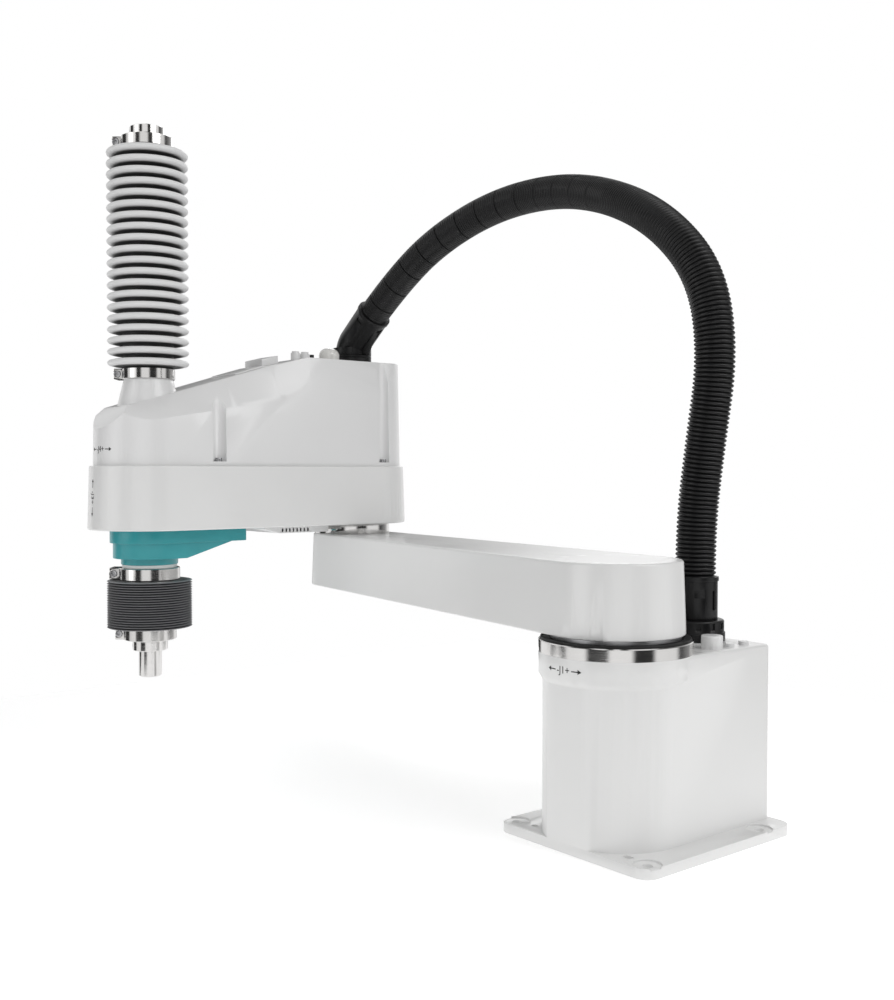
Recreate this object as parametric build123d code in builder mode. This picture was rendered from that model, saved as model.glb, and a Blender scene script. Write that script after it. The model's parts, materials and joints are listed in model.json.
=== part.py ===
from build123d import *
from math import atan2, cos, degrees, pi, radians, sin, tan
import os

os.makedirs("parts", exist_ok=True)

# Four-axis SCARA robot, in millimetres and degrees. The origin is on the J1 axis at the underside of
# the base plate, +X is the base's forward side and +Z is up. The arm is drawn in its parking pose.

# Links and axes
inner_l = 525.0        # J1 axis to J2 axis
fore_l = 275.0         # J2 axis to J3 axis
j1_rest = -98.7        # heading of the inner arm
j2_rest = 98.7         # heading of the forearm, from the inner arm
z_stroke = 180.0
running_gap = 0.08     # radial, between a turning piece and its bearing bore
face_gap = 0.3         # axial, between two pieces that turn on each other

# Base
plate_w = 178.0
plate_t = 9.0
plate_front_x = 60.0
rear_deck_l = 72.1           # deck behind the collar, for the conduit's socket
plate_corner_r = 14.0
bolt_pitch_y = 155.0
bolt_front_x = 46.0
bolt_rear_margin = 36.0
bolt_hole_r = 4.5
spot_r = 12.0
spot_depth = 1.5
dowel_r = 3.0
dowel_y = 55.5
barrel_r = 64.4
base_h = 169.0
collar_r = 67.9
collar_h = 19.0
collar_cone_h = 6.0
barrel_lean_h = 80.0         # height over which the barrel leans out from the plate's edge
motor_bay_r = 54.0
base_floor_t = 17.0
rear_corner_r = 8.0
rear_wall_t = 8.0
rear_bay_front_x = -66.0
edge_r = 3.0
panel_side = 12.4
panel_edge = 16.0
panel_t = 3.0
panel_screw_r = 1.5
panel_screw_l = 4.0
panel_plug_r = 15.0
panel_pitch = 24.0
panel_plug_up = 30.0
port_r = 5.0
port_down = 28.0
cable_way_z = 60.0
cap_gap = 7.1                # from the collar to the cap's axis
cap_y = 47.0
cap_r = 9.6
cap_h = 12.0
plug_r = 4.5
plug_h = 3.5
base_plug_pitch = 21.0

# J1 bearing and drive
j1_ring_h = 11.0
j1_bore_r = 58.0
j1_seal_t = 2.0
j1_reducer_h = 38.0
j1_motor_w = 70.0
j1_motor_gap = 18.0          # under the motor
j1_bolt_circle_r = 49.0
j1_bolt_count = 12
stop_pin_h = 4.0
j1_reach = 127.0            # turn of J1 to each side of straight ahead

# Inner arm
arm_gap = 5.0
arm_h = 65.0
arm_j1_r = 61.3
arm_j2_r = 50.9
arm_draft = 2.2
arm_edge_r = 2.5
arm_wall = 7.0
arm_floor_h = 15.0
arm_roof_t = 9.0
rib_t = 6.0
rib_count = 8
rib_from = 0.20              # shares of the inner arm's length
rib_to = 0.83
arm_bolt_r = 2.5
arm_plug_r = 4.5
arm_plug_t = 3.0

# J2 bearing and drive
j2_gap = 13.0
j2_ring_r = 46.7
j2_bore_r = 37.0
j2_bolt_count = 12
j2_screw_r = 2.0
j2_screw_l = 9.0
j2_screw_head_r = 3.2
j2_hub_r = 25.0
j2_hub_l = 4.0             # how far the hub reaches into the reducer
j2_reducer_r = 40.0
j2_reducer_h = 26.0
j2_motor_w = 60.0
j2_motor_h = 88.0

# Forearm casting
band_r = 66.4
band_h = 70.0
band_draft = 1.8
band_wall = 9.4
band_floor_t = 8.0
band_edge_r = 2.0

# Forearm cover
cover_r = 60.1
cover_wall = 3.0
cover_draft = 1.0
# sections of the roof: distance from the J2 axis, then over the seam the height of the side crease,
# half the width of the ridge and the height of the ridge
roof_sections = (
    (-70.0, 91.0, 51.0, 128.0),
    (fore_l * 0.3527, 90.0, 51.0, 128.0),
    (fore_l * 0.5164, 74.8, 42.0, 116.5),
    (fore_l * 0.7273, 65.0, 36.0, 99.0),
    (fore_l, 53.0, 32.0, 76.5),
    (fore_l + 70.0, 31.5, 27.7, 54.8),
)
crease_half_w = 59.0
nose_low = (67.0, 31.0)      # two points of the nose's bevel: from the J3 axis, over the seam
nose_high = (31.0, 74.2)
neck_foot_r = 34.5
neck_top_r = 26.8
neck_foot_h = 64.0
neck_top_h = 95.7           # height of the neck's shoulder over the seam
groove_r = 8.3
groove_floor_h = 5.0
groove_places = (-7.0, fore_l - 56.0)
cover_screw_r = 2.0
cover_screw_head_r = 4.0
cover_boss_l = 25.0

# Shaft, bellows and clamps
shaft_r = 12.5
shaft_nose_l = 29.4          # bare end under the stop collar
collar_ring_r = 19.1
top_collar_h = 10.2
stop_collar_h = 11.2
collar_gap = 1.1             # from the top collar to the bellows clamp
stop_collar_gap = 0.8
flat_up = 10.6              # from the shaft's tip to the flat for the tool's setscrew
flat_h = 9.0
flat_depth = 0.4
cuff_t = 1.5
clamp_r = 28.7
clamp_wall = 4.7
clamp_h = 12.0
lower_clamp_h = 13.3
ear_reach = 36.5
ear_w = 20.0
ear_heading = -39.5
slit_w = 1.6
clamp_screw_r = 2.0
clamp_screw_head_r = 3.6
fold_r = 44.3
fold_root_r = 27.4
fold_count = 20
lower_fold_r = 46.3
lower_root_r = 29.5
closed_bellows_l = 62.8      # folds of the upper bellows at the bottom of the stroke
lower_bellows_l = 53.7

# Lower cover under J3
skirt_r = 43.0
skirt_h = 15.0
skirt_step = 3.4
skirt_wall = 2.6
skirt_drop = 32.0
tail_l = 104.0               # from the J3 axis back to the tail's end
tail_half_w = 37.0
tail_corner_r = 6.0
tail_rise_from = 27.0        # back from the J3 axis
tail_rise_to = 85.0
spout_r = 31.0
spout_h = 7.0
spout_tube_r = 26.5
spout_wall = 3.5
seal_r = 30.0
seal_h = 3.9
lower_top_clamp_r = 33.0
lower_top_ear_reach = 43.0

# Nuts, belts and motors in the forearm
nut_r = 20.5
pulley_r = 30.0
pulley_w = 14.0
flange_r = 33.0
housing_r = 33.0
flange_t = 1.5
motor_pulley_r = 12.0
belt_t = 2.2
motor_back = 105.0           # from the J3 axis
motor_y = 25.0
motor_w = 42.0
motor_h = 60.0
bracket_t = 3.0
r_belt_h = 17.0              # over the casting's floor
z_belt_h = 51.0
motor_shaft_r = 5.0
pillar_r = 6.0
pedestal_t = 8.0
ball_housing_h = 35.0

# Pieces on the cover and under the forearm
foot_r = 24.4
foot_h = 11.6
lamp_r = 12.4
lamp_x = 53.0
lamp_y = 28.0
lamp_h = 15.0
fitting_r = 5.6
fitting_h = 6.5
fitting_x = (88.0, 101.0)
button_r = 2.6
button_x = 78.0
button_h = 6.0
button_travel = 2.0
connector_l = 22.0
connector_w = 40.0
connector_h = 9.0
connector_x = 131.0
hatch_l = 38.0
hatch_w = 56.0
hatch_t = 1.6
hatch_x = 163.0
vent_h = 8.5
vent_w = 78.0
vent_from = 62.0
vent_gap = 21.0              # between the vent and the lower cover's tail
vent_slope_l = 20.0
vent_slot_count = 8
vent_slot_margin = 4.0
vent_slot_pitch = 5.0
vent_slot_w = 2.4

# Conduit from the elbow to the base
conduit_r = 18.5
socket_edge = 1.9            # from the flange to the deck's rear edge
socket_flange_r = 27.6
socket_nut_r = 26.6
socket_flange_h = 8.0
socket_nut_h = 11.5
cuff_r = 20.6
cuff_h = 39.5
elbow_r = 20.4
elbow_bend_r = 24.0
elbow_angle = 50.0
elbow_reach = 45.0          # from the J2 axis to the elbow's mouth
elbow_mouth_h = 60.5         # over the cover's roof
elbow_skirt_h = 8.6
conduit_bore_r = 15.0

# Heights that follow
ring_top_z = base_h + j1_ring_h
arm_z = ring_top_z + arm_gap
arm_top_z = arm_z + arm_h
fore_z = arm_top_z + j2_gap
floor_z = fore_z + band_floor_t
seam_z = fore_z + band_h
roof_z = seam_z + roof_sections[0][3]
neck_z = seam_z + neck_top_h
skirt_z = fore_z - skirt_drop
spout_z = skirt_z - spout_h
seal_z = spout_z - seal_h
tube_low_z = seal_z - lower_clamp_h
end_clamp_z = tube_low_z - lower_bellows_l - lower_clamp_h
stop_collar_z = end_clamp_z - stop_collar_gap - stop_collar_h
shaft_tip_z = stop_collar_z - shaft_nose_l
clamp_top_z = neck_z + clamp_h
top_clamp_z = clamp_top_z + closed_bellows_l + z_stroke
collar_low_z = top_clamp_z + clamp_h + collar_gap
shaft_top_z = collar_low_z + top_collar_h
r_belt_z = floor_z + r_belt_h
z_belt_z = floor_z + z_belt_h

# Axes that follow
j2_x = inner_l * cos(radians(j1_rest))
j2_y = inner_l * sin(radians(j1_rest))
fore_heading = j1_rest + j2_rest
j3_x = j2_x + fore_l * cos(radians(fore_heading))
j3_y = j2_y + fore_l * sin(radians(fore_heading))


def heading_axis(heading):
    return (cos(radians(heading)), sin(radians(heading)), 0)


def base_plane(height):
    return Plane.XY.offset(height)


def arm_plane(height):
    """Level plane with its origin on the J1 axis and its X along the inner arm."""
    return Plane(origin=(0, 0, height), x_dir=heading_axis(j1_rest), z_dir=(0, 0, 1))


def fore_plane(height):
    """Level plane with its origin on the J2 axis and its X along the forearm."""
    return Plane(origin=(j2_x, j2_y, height), x_dir=heading_axis(fore_heading), z_dir=(0, 0, 1))


def fore_side_plane(offset=0.0):
    """Upright plane along the forearm: X from the J2 axis, Y is height, offset to the forearm's left."""
    side = heading_axis(fore_heading + 90)
    origin = (j2_x + side[0] * offset, j2_y + side[1] * offset, 0)
    return Plane(origin=origin, x_dir=heading_axis(fore_heading), z_dir=tuple(-c for c in side))


def fore_cross_plane(distance):
    """Upright plane across the forearm, distance along it from the J2 axis."""
    along = heading_axis(fore_heading)
    origin = (j2_x + along[0] * distance, j2_y + along[1] * distance, 0)
    return Plane(origin=origin, x_dir=heading_axis(fore_heading + 90), z_dir=along)


def quill_plane(height, heading=0.0):
    return Plane(origin=(j3_x, j3_y, height), x_dir=heading_axis(heading), z_dir=(0, 0, 1))


def quill_side_plane():
    """Upright plane through the J3 axis: X is the radius and Y is the height."""
    return Plane(origin=(j3_x, j3_y, 0), x_dir=(1, 0, 0), z_dir=(0, -1, 0))


quill_axis = Axis((j3_x, j3_y, 0), (0, 0, 1))
j2_axis = Axis((j2_x, j2_y, 0), (0, 0, 1))


def round_piece(plane, height, outer_r, inner_r=0.0):
    """Plain ring or disc standing on plane."""
    with BuildPart() as piece:
        with BuildSketch(plane):
            Circle(outer_r)
            if inner_r > 0:
                Circle(inner_r, mode=Mode.SUBTRACT)
        extrude(amount=height)
    return piece


def screw_set(plane, places, head_r, head_h, shank_r, shank_l, socket_r=0.0):
    """Group of equal screws. The plane is at the seat of the heads, with the shanks below it."""
    with BuildPart() as screws:
        with BuildSketch(plane):
            with Locations(places):
                Circle(head_r)
        extrude(amount=head_h)
        with BuildSketch(plane):
            with Locations(places):
                Circle(shank_r)
        extrude(amount=-shank_l)
        if socket_r > 0:
            with BuildSketch(plane.offset(head_h)):
                with Locations(places):
                    RegularPolygon(socket_r, 6)
            extrude(amount=-head_h / 2, mode=Mode.SUBTRACT)
    return screws


def save(piece, name):
    piece.part.label = name
    export_step(piece.part, f"parts/{name}.step")


# Base

plate_rear_x = -collar_r - rear_deck_l
plate_l = plate_front_x - plate_rear_x
bolt_rear_x = plate_rear_x + bolt_rear_margin
bolt_places = [(x, y) for x in (bolt_front_x, bolt_rear_x) for y in (-bolt_pitch_y / 2, bolt_pitch_y / 2)]
box_half_w = barrel_r
stop_pin_at = (motor_bay_r + j1_bore_r) / 2
stop_pin_r = (j1_bore_r - motor_bay_r) / 2 - 0.15
collar_z = base_h - collar_h
reducer_z = base_h - j1_reducer_h
j1_motor_h = reducer_z - base_floor_t - j1_motor_gap
panel_z = (plate_t + base_h) / 2
panel_w = 2 * (box_half_w - panel_side)
panel_h = base_h - plate_t - 2 * panel_edge
panel_screw_places = [(y, panel_z + z) for y in (5 - panel_w / 2, panel_w / 2 - 5)
                      for z in (5 - panel_h / 2, panel_h / 2 - 5)]
plug_places = [(y, panel_z + panel_plug_up) for y in (-panel_pitch, panel_pitch)]
port_places = [(y, panel_z - port_down) for y in (-panel_pitch, 0, panel_pitch)]
cap_x = -collar_r - cap_gap
socket_x = plate_rear_x + socket_flange_r + socket_edge

with BuildPart() as base_casting:
    with BuildSketch():
        with Locations(((plate_front_x + plate_rear_x) / 2, 0)):
            RectangleRounded(plate_l, plate_w, plate_corner_r)
    extrude(amount=plate_t)
    with BuildSketch():
        Circle(barrel_r)
        with Locations((plate_rear_x / 2, 0)):
            Rectangle(-plate_rear_x, 2 * box_half_w)
    extrude(amount=base_h)
    rear_corners = base_casting.edges().filter_by(Axis.Z).filter_by(
        lambda e: abs(abs(e.center().Y) - box_half_w) < 1 and e.center().X < plate_rear_x + 1)
    fillet(rear_corners, rear_corner_r)
    with BuildSketch(base_plane(collar_z)):
        Circle(collar_r)
    extrude(amount=collar_h)
    with BuildSketch(Plane.XZ):
        with BuildLine():
            Polyline((barrel_r - 1, collar_z), (collar_r, collar_z), (barrel_r, collar_z - collar_cone_h),
                     (barrel_r - 1, collar_z - collar_cone_h), close=True)
        make_face()
    revolve(axis=Axis.Z)
    # the barrel is cut back to the plate's front edge, and leans out to its full radius above
    with BuildSketch(Plane.XZ):
        with BuildLine():
            Polyline((plate_front_x, -1), (plate_front_x, plate_t), (collar_r, plate_t + barrel_lean_h),
                     (collar_r + 10, plate_t + barrel_lean_h), (collar_r + 10, -1), close=True)
        make_face()
    extrude(amount=barrel_r, both=True, mode=Mode.SUBTRACT)
    top_rim = base_casting.edges().filter_by(
        lambda e: abs(e.center().Z - base_h) < 0.01 and e.center().X < -barrel_r / 2)
    fillet(top_rim, edge_r)
    # bay of the motor and reducer, open at the top
    with BuildSketch(base_plane(base_floor_t)):
        Circle(motor_bay_r)
    extrude(amount=base_h, mode=Mode.SUBTRACT)
    # stop pin of J1, in the ledge round the bay
    with BuildSketch(base_plane(base_h)):
        with Locations((-stop_pin_at, 0)):
            Circle(stop_pin_r)
    extrude(amount=stop_pin_h)
    # bay in the rear box, open at the back behind the panel
    with BuildSketch(base_plane(base_floor_t)):
        with Locations(((rear_bay_front_x + plate_rear_x + rear_wall_t) / 2, 0)):
            RectangleRounded(rear_bay_front_x - plate_rear_x - rear_wall_t, 2 * (box_half_w - rear_wall_t), 4)
    extrude(amount=base_h - base_floor_t - rear_wall_t, mode=Mode.SUBTRACT)
    with BuildSketch(Plane.YZ.offset(plate_rear_x)):
        with Locations((0, panel_z)):
            RectangleRounded(panel_w, panel_h, 4)
    extrude(amount=panel_t, mode=Mode.SUBTRACT)
    with BuildSketch(Plane.YZ.offset(plate_rear_x)):
        with Locations((0, panel_z)):
            RectangleRounded(panel_w - 14, panel_h - 14, 3)
    extrude(amount=rear_wall_t + 2, mode=Mode.SUBTRACT)
    # cable way between the two bays
    with BuildSketch(Plane.YZ.offset(rear_bay_front_x - 1)):
        with Locations((0, cable_way_z)):
            SlotOverall(50, 24)
    extrude(amount=30, mode=Mode.SUBTRACT)
    # conduit way through the roof
    with BuildSketch(base_plane(base_h - rear_wall_t - 1)):
        with Locations((socket_x, 0)):
            Circle(conduit_r - 2)
    extrude(amount=rear_wall_t + 2, mode=Mode.SUBTRACT)
    with Locations([(x, y, plate_t) for x, y in bolt_places]):
        CounterBoreHole(bolt_hole_r, spot_r, spot_depth)
    with BuildSketch(Plane.YZ.offset(plate_rear_x)):
        with Locations(panel_screw_places):
            Circle(panel_screw_r)
    extrude(amount=panel_t + panel_screw_l, mode=Mode.SUBTRACT)
    with Locations((bolt_front_x - 1, -dowel_y, plate_t)):
        Hole(dowel_r)
    with BuildSketch(base_plane(0)):
        with Locations((bolt_front_x - 1, dowel_y)):
            SlotOverall(10, 2 * dowel_r, rotation=90)
    extrude(amount=plate_t, mode=Mode.SUBTRACT)
save(base_casting, "base_casting")

with BuildPart() as j1_bearing_ring:
    with BuildSketch(base_plane(base_h)):
        Circle(collar_r)
        Circle(j1_bore_r, mode=Mode.SUBTRACT)
    extrude(amount=j1_ring_h)
    chamfer(j1_bearing_ring.edges().filter_by(GeomType.CIRCLE).group_by(Axis.Z)[-1].sort_by(SortBy.RADIUS)[-1:],
            0.8)
save(j1_bearing_ring, "j1_bearing_ring")

seal_bore_r = j1_bore_r + 0.5
j1_dust_seal = round_piece(base_plane(ring_top_z), j1_seal_t, collar_r - 1.6, seal_bore_r)
save(j1_dust_seal, "j1_dust_seal")

with BuildPart() as j1_reducer:
    with BuildSketch(base_plane(reducer_z)):
        Circle(motor_bay_r)
        Circle(14, mode=Mode.SUBTRACT)
    extrude(amount=j1_reducer_h)
    with BuildSketch(base_plane(reducer_z)):
        Circle(motor_bay_r + 1)
        Circle(motor_bay_r - 4, mode=Mode.SUBTRACT)
    extrude(amount=j1_reducer_h / 2, mode=Mode.SUBTRACT)
save(j1_reducer, "j1_reducer")

with BuildPart() as j1_motor:
    with BuildSketch(base_plane(reducer_z - j1_motor_h)):
        RectangleRounded(j1_motor_w, j1_motor_w, 8)
    extrude(amount=j1_motor_h - 6)
    with BuildSketch(base_plane(reducer_z - 6)):
        Circle(j1_motor_w / 2 - 4)
    extrude(amount=6)
    with BuildSketch(base_plane(reducer_z)):
        Circle(7)
    extrude(amount=j1_reducer_h - 6)
save(j1_motor, "j1_motor")

with BuildPart() as rear_panel:
    with BuildSketch(Plane.YZ.offset(plate_rear_x)):
        with Locations((0, panel_z)):
            RectangleRounded(panel_w, panel_h, 4)
        with Locations(plug_places):
            Circle(panel_plug_r, mode=Mode.SUBTRACT)
        with Locations(port_places):
            Circle(port_r, mode=Mode.SUBTRACT)
        with Locations(panel_screw_places):
            Circle(panel_screw_r, mode=Mode.SUBTRACT)
    extrude(amount=panel_t)
save(rear_panel, "rear_panel")


# the panel's outside faces away from the arm
panel_outside = Plane(origin=(plate_rear_x, 0, 0), x_dir=(0, -1, 0), z_dir=(-1, 0, 0))
rear_panel_screws = screw_set(panel_outside, panel_screw_places, 2.8, 1.8, panel_screw_r,
                              panel_t + panel_screw_l - 0.5)
save(rear_panel_screws, "rear_panel_screws")

with BuildPart() as rear_connectors:
    with BuildSketch(panel_outside.offset(-panel_t)):
        with Locations(plug_places):
            Circle(panel_plug_r)
    extrude(amount=panel_t)
    with BuildSketch(panel_outside):
        with Locations(plug_places):
            Circle(panel_plug_r + 3)
    extrude(amount=2.5)
    with BuildSketch(panel_outside.offset(2.5)):
        with Locations(plug_places):
            Circle(panel_plug_r - 1)
            Circle(panel_plug_r - 4, mode=Mode.SUBTRACT)
    extrude(amount=9)
    # air ports
    with BuildSketch(panel_outside.offset(-panel_t)):
        with Locations(port_places):
            Circle(port_r)
    extrude(amount=panel_t)
    with BuildSketch(panel_outside):
        with Locations(port_places):
            RegularPolygon(port_r + 2.2, 6)
    extrude(amount=5)
    with BuildSketch(panel_outside.offset(5)):
        with Locations(port_places):
            Circle(port_r)
            Circle(port_r - 2, mode=Mode.SUBTRACT)
    extrude(amount=6)
save(rear_connectors, "rear_connectors")

with BuildPart() as blanking_cap:
    with BuildSketch(base_plane(base_h)):
        with Locations((cap_x, cap_y)):
            Circle(cap_r)
    extrude(amount=cap_h)
    fillet(blanking_cap.edges().group_by(Axis.Z)[-1], 1.2)
save(blanking_cap, "blanking_cap")

plug_x = cap_x - base_plug_pitch
with BuildPart() as base_plugs:
    with BuildSketch(base_plane(base_h)):
        with Locations((plug_x, cap_y + 3), (plug_x - base_plug_pitch, cap_y + 3)):
            Circle(plug_r)
    extrude(amount=plug_h)
    fillet(base_plugs.edges().group_by(Axis.Z)[-1], 1.0)
save(base_plugs, "base_plugs")

# Socket of the conduit on the base

nut_z = base_h + socket_flange_h
cuff_z = nut_z + socket_nut_h
cuff_top_z = cuff_z + cuff_h


def socket_plane(height):
    return Plane(origin=(socket_x, 0, height), x_dir=(1, 0, 0), z_dir=(0, 0, 1))


with BuildPart() as conduit_nut:
    with BuildSketch(socket_plane(base_h)):
        Circle(socket_flange_r)
        Circle(conduit_r - 2, mode=Mode.SUBTRACT)
    extrude(amount=socket_flange_h)
    with BuildSketch(socket_plane(nut_z)):
        Circle(socket_nut_r)
        Circle(conduit_r - 2, mode=Mode.SUBTRACT)
    extrude(amount=socket_nut_h)
    fillet(conduit_nut.edges().group_by(Axis.Z)[-1].sort_by(SortBy.RADIUS)[-1:], 2.0)
save(conduit_nut, "conduit_nut")

with BuildPart() as conduit_cuff:
    with BuildSketch(socket_plane(cuff_z)):
        Circle(cuff_r)
        Circle(conduit_r - 2, mode=Mode.SUBTRACT)
    extrude(amount=cuff_h)
    # latch windows round the cuff
    for heading in (50.0, 140.0, 230.0, 320.0):
        face = Plane(origin=(socket_x, 0, cuff_z + cuff_h * 0.62), x_dir=heading_axis(heading + 90),
                     z_dir=heading_axis(heading))
        with BuildSketch(face.offset(cuff_r - 1.4)):
            Rectangle(10, 7)
        extrude(amount=4, mode=Mode.SUBTRACT)
save(conduit_cuff, "conduit_cuff")

# Inner arm

j2_bolt_circle_r = (j2_bore_r + j2_ring_r) / 2
arm_floor_z = arm_z + arm_floor_h
boss_r = j1_bore_r - 3
j2_boss_r = j2_ring_r - 4


def arm_outline(extra, height):
    """Outline of the inner arm at a height over its underside, wider by extra all round."""
    lean = tan(radians(arm_draft)) * height
    with BuildSketch(arm_plane(arm_z + height)) as outline:
        with Locations((0, 0)):
            Circle(arm_j1_r - lean + extra)
        with Locations((inner_l, 0)):
            Circle(arm_j2_r - lean + extra)
        make_hull()
    return outline.sketch.face()


with BuildPart() as arm_bay:
    loft([arm_outline(-arm_wall, 0), arm_outline(-arm_wall, arm_h - arm_roof_t)], ruled=True)
    # solid ends under the two bearings, and ribs across the bay
    with BuildSketch(arm_plane(arm_z)):
        Circle(boss_r)
        with Locations((inner_l, 0)):
            Circle(j2_boss_r)
        with Locations([(inner_l * (rib_from + (rib_to - rib_from) * i / (rib_count - 1)), 0)
                        for i in range(rib_count)]):
            Rectangle(rib_t, 2 * arm_j1_r)
        with Locations((inner_l / 2, 0)):
            Rectangle(inner_l, rib_t)
    extrude(amount=arm_h, mode=Mode.SUBTRACT)

with BuildPart() as inner_arm:
    loft([arm_outline(0, 0), arm_outline(0, arm_h)], ruled=True)
    fillet(inner_arm.edges().group_by(Axis.Z)[-1], arm_edge_r)
    fillet(inner_arm.edges().group_by(Axis.Z)[0], 1.5)
    add(arm_bay.part, mode=Mode.SUBTRACT)
    # bolts of J1 go down from the top, and each hole is closed by a plug
    with BuildSketch(arm_plane(arm_z)):
        with PolarLocations(j1_bolt_circle_r, j1_bolt_count):
            Circle(arm_bolt_r + 0.1)
    extrude(amount=arm_h, mode=Mode.SUBTRACT)
    with BuildSketch(arm_plane(arm_floor_z)):
        with PolarLocations(j1_bolt_circle_r, j1_bolt_count):
            Circle(arm_plug_r)
    extrude(amount=arm_h, mode=Mode.SUBTRACT)
    # tapped holes of the J2 ring
    with BuildSketch(arm_plane(arm_top_z)):
        with Locations((inner_l, 0)):
            with PolarLocations(j2_bolt_circle_r, j2_bolt_count):
                Circle(j2_screw_r)
    extrude(amount=-j2_screw_l, mode=Mode.SUBTRACT)
save(inner_arm, "inner_arm")

with BuildPart() as j1_output_flange:
    with BuildSketch(arm_plane(base_h + face_gap)):
        Circle(j1_bore_r - running_gap)
        with PolarLocations(j1_bolt_circle_r, j1_bolt_count):
            Circle(arm_bolt_r, mode=Mode.SUBTRACT)
    extrude(amount=arm_z - base_h - face_gap)
    # groove that the stop pin runs in, up to a block on the arm's side
    with BuildSketch(arm_plane(base_h)):
        Circle(j1_bore_r)
        Circle(motor_bay_r, mode=Mode.SUBTRACT)
        block_angle = 180 - j1_reach - 3
        with BuildLine():
            Polyline((0, 0), (90 * cos(radians(block_angle)), 90 * sin(radians(block_angle))), (90, 0),
                     (90 * cos(radians(block_angle)), -90 * sin(radians(block_angle))), close=True)
        make_face(mode=Mode.SUBTRACT)
    extrude(amount=stop_pin_h + face_gap, mode=Mode.SUBTRACT)
save(j1_output_flange, "j1_output_flange")

with BuildPart() as j1_flange_screws:
    with BuildSketch(arm_plane(arm_floor_z)):
        with PolarLocations(j1_bolt_circle_r, j1_bolt_count):
            Circle(arm_plug_r - 0.3)
    extrude(amount=2 * arm_bolt_r)
    with BuildSketch(arm_plane(arm_floor_z)):
        with PolarLocations(j1_bolt_circle_r, j1_bolt_count):
            Circle(arm_bolt_r)
    extrude(amount=-arm_floor_h - 9)
save(j1_flange_screws, "j1_flange_screws")

with BuildPart() as arm_screw_plugs:
    with BuildSketch(arm_plane(arm_top_z)):
        with PolarLocations(j1_bolt_circle_r, j1_bolt_count):
            Circle(arm_plug_r)
    extrude(amount=-arm_plug_t)
save(arm_screw_plugs, "arm_screw_plugs")

# J2 bearing, between the inner arm and the forearm

j2_ring_top_z = fore_z - face_gap
j2_head_z = j2_ring_top_z - 4.5

with BuildPart() as j2_bearing_ring:
    with BuildSketch(arm_plane(arm_top_z)):
        with Locations((inner_l, 0)):
            Circle(j2_ring_r)
            Circle(j2_bore_r, mode=Mode.SUBTRACT)
    extrude(amount=j2_ring_top_z - arm_top_z)
    with BuildSketch(arm_plane(arm_top_z)):
        with Locations((inner_l, 0)):
            with PolarLocations(j2_bolt_circle_r, j2_bolt_count):
                Circle(j2_screw_r)
    extrude(amount=j2_gap, mode=Mode.SUBTRACT)
    with BuildSketch(arm_plane(j2_head_z)):
        with Locations((inner_l, 0)):
            with PolarLocations(j2_bolt_circle_r, j2_bolt_count):
                Circle(j2_screw_head_r)
    extrude(amount=j2_gap, mode=Mode.SUBTRACT)
save(j2_bearing_ring, "j2_bearing_ring")

with BuildPart() as j2_ring_screws:
    with BuildSketch(arm_plane(j2_head_z)):
        with Locations((inner_l, 0)):
            with PolarLocations(j2_bolt_circle_r, j2_bolt_count):
                Circle(j2_screw_head_r)
    extrude(amount=4)
    with BuildSketch(arm_plane(j2_head_z)):
        with Locations((inner_l, 0)):
            with PolarLocations(j2_bolt_circle_r, j2_bolt_count):
                Circle(j2_screw_r)
    extrude(amount=arm_top_z - j2_head_z - j2_screw_l + 1)
save(j2_ring_screws, "j2_ring_screws")

# the hub stands on the inner arm and reaches up into the reducer
with BuildPart() as j2_output_flange:
    with BuildSketch(fore_plane(arm_top_z)):
        Circle(j2_hub_r)
    extrude(amount=floor_z + j2_hub_l - arm_top_z)
save(j2_output_flange, "j2_output_flange")

# Forearm casting

groove_y = cover_r - 1.5
screw_y = cover_r - cover_screw_head_r
screw_places = [(x, y) for x in groove_places for y in (screw_y, -screw_y)]
groove_centres = [(x, y) for x in groove_places for y in (groove_y, -groove_y)]


def fore_outline(height, radius):
    """Outline of the forearm, the same radius about J2 and J3."""
    with BuildSketch(fore_plane(height)) as outline:
        Circle(radius)
        with Locations((fore_l, 0)):
            Circle(radius)
        make_hull()
    return outline.sketch.face()


band_inner_r = band_r - band_wall
band_lean = tan(radians(band_draft)) * band_h

with BuildPart() as forearm_frame:
    loft([fore_outline(fore_z, band_r), fore_outline(seam_z, band_r - band_lean)], ruled=True)
    fillet(forearm_frame.edges().group_by(Axis.Z)[0], band_edge_r)
    fillet(forearm_frame.edges().group_by(Axis.Z)[-1], band_edge_r / 2)
    extrude(fore_outline(floor_z, band_inner_r), amount=band_h, mode=Mode.SUBTRACT)
    # bosses of the cover screws, clear of the floor
    with BuildSketch(fore_plane(seam_z)):
        with Locations(screw_places):
            Circle(3 * cover_screw_r)
    extrude(amount=-cover_boss_l)
    with BuildSketch(fore_plane(seam_z)):
        with Locations(screw_places):
            Circle(cover_screw_r)
    extrude(amount=-cover_boss_l, mode=Mode.SUBTRACT)
    # boss that turns in the J2 ring
    with BuildSketch(fore_plane(arm_top_z + face_gap)):
        Circle(j2_bore_r - running_gap)
    extrude(amount=fore_z - arm_top_z - face_gap)
    with BuildSketch(fore_plane(arm_top_z)):
        Circle(j2_hub_r + 3)
        with Locations((fore_l, 0)):
            Circle(housing_r)
    extrude(amount=band_h, mode=Mode.SUBTRACT)
save(forearm_frame, "forearm_frame")

# Forearm cover


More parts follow.
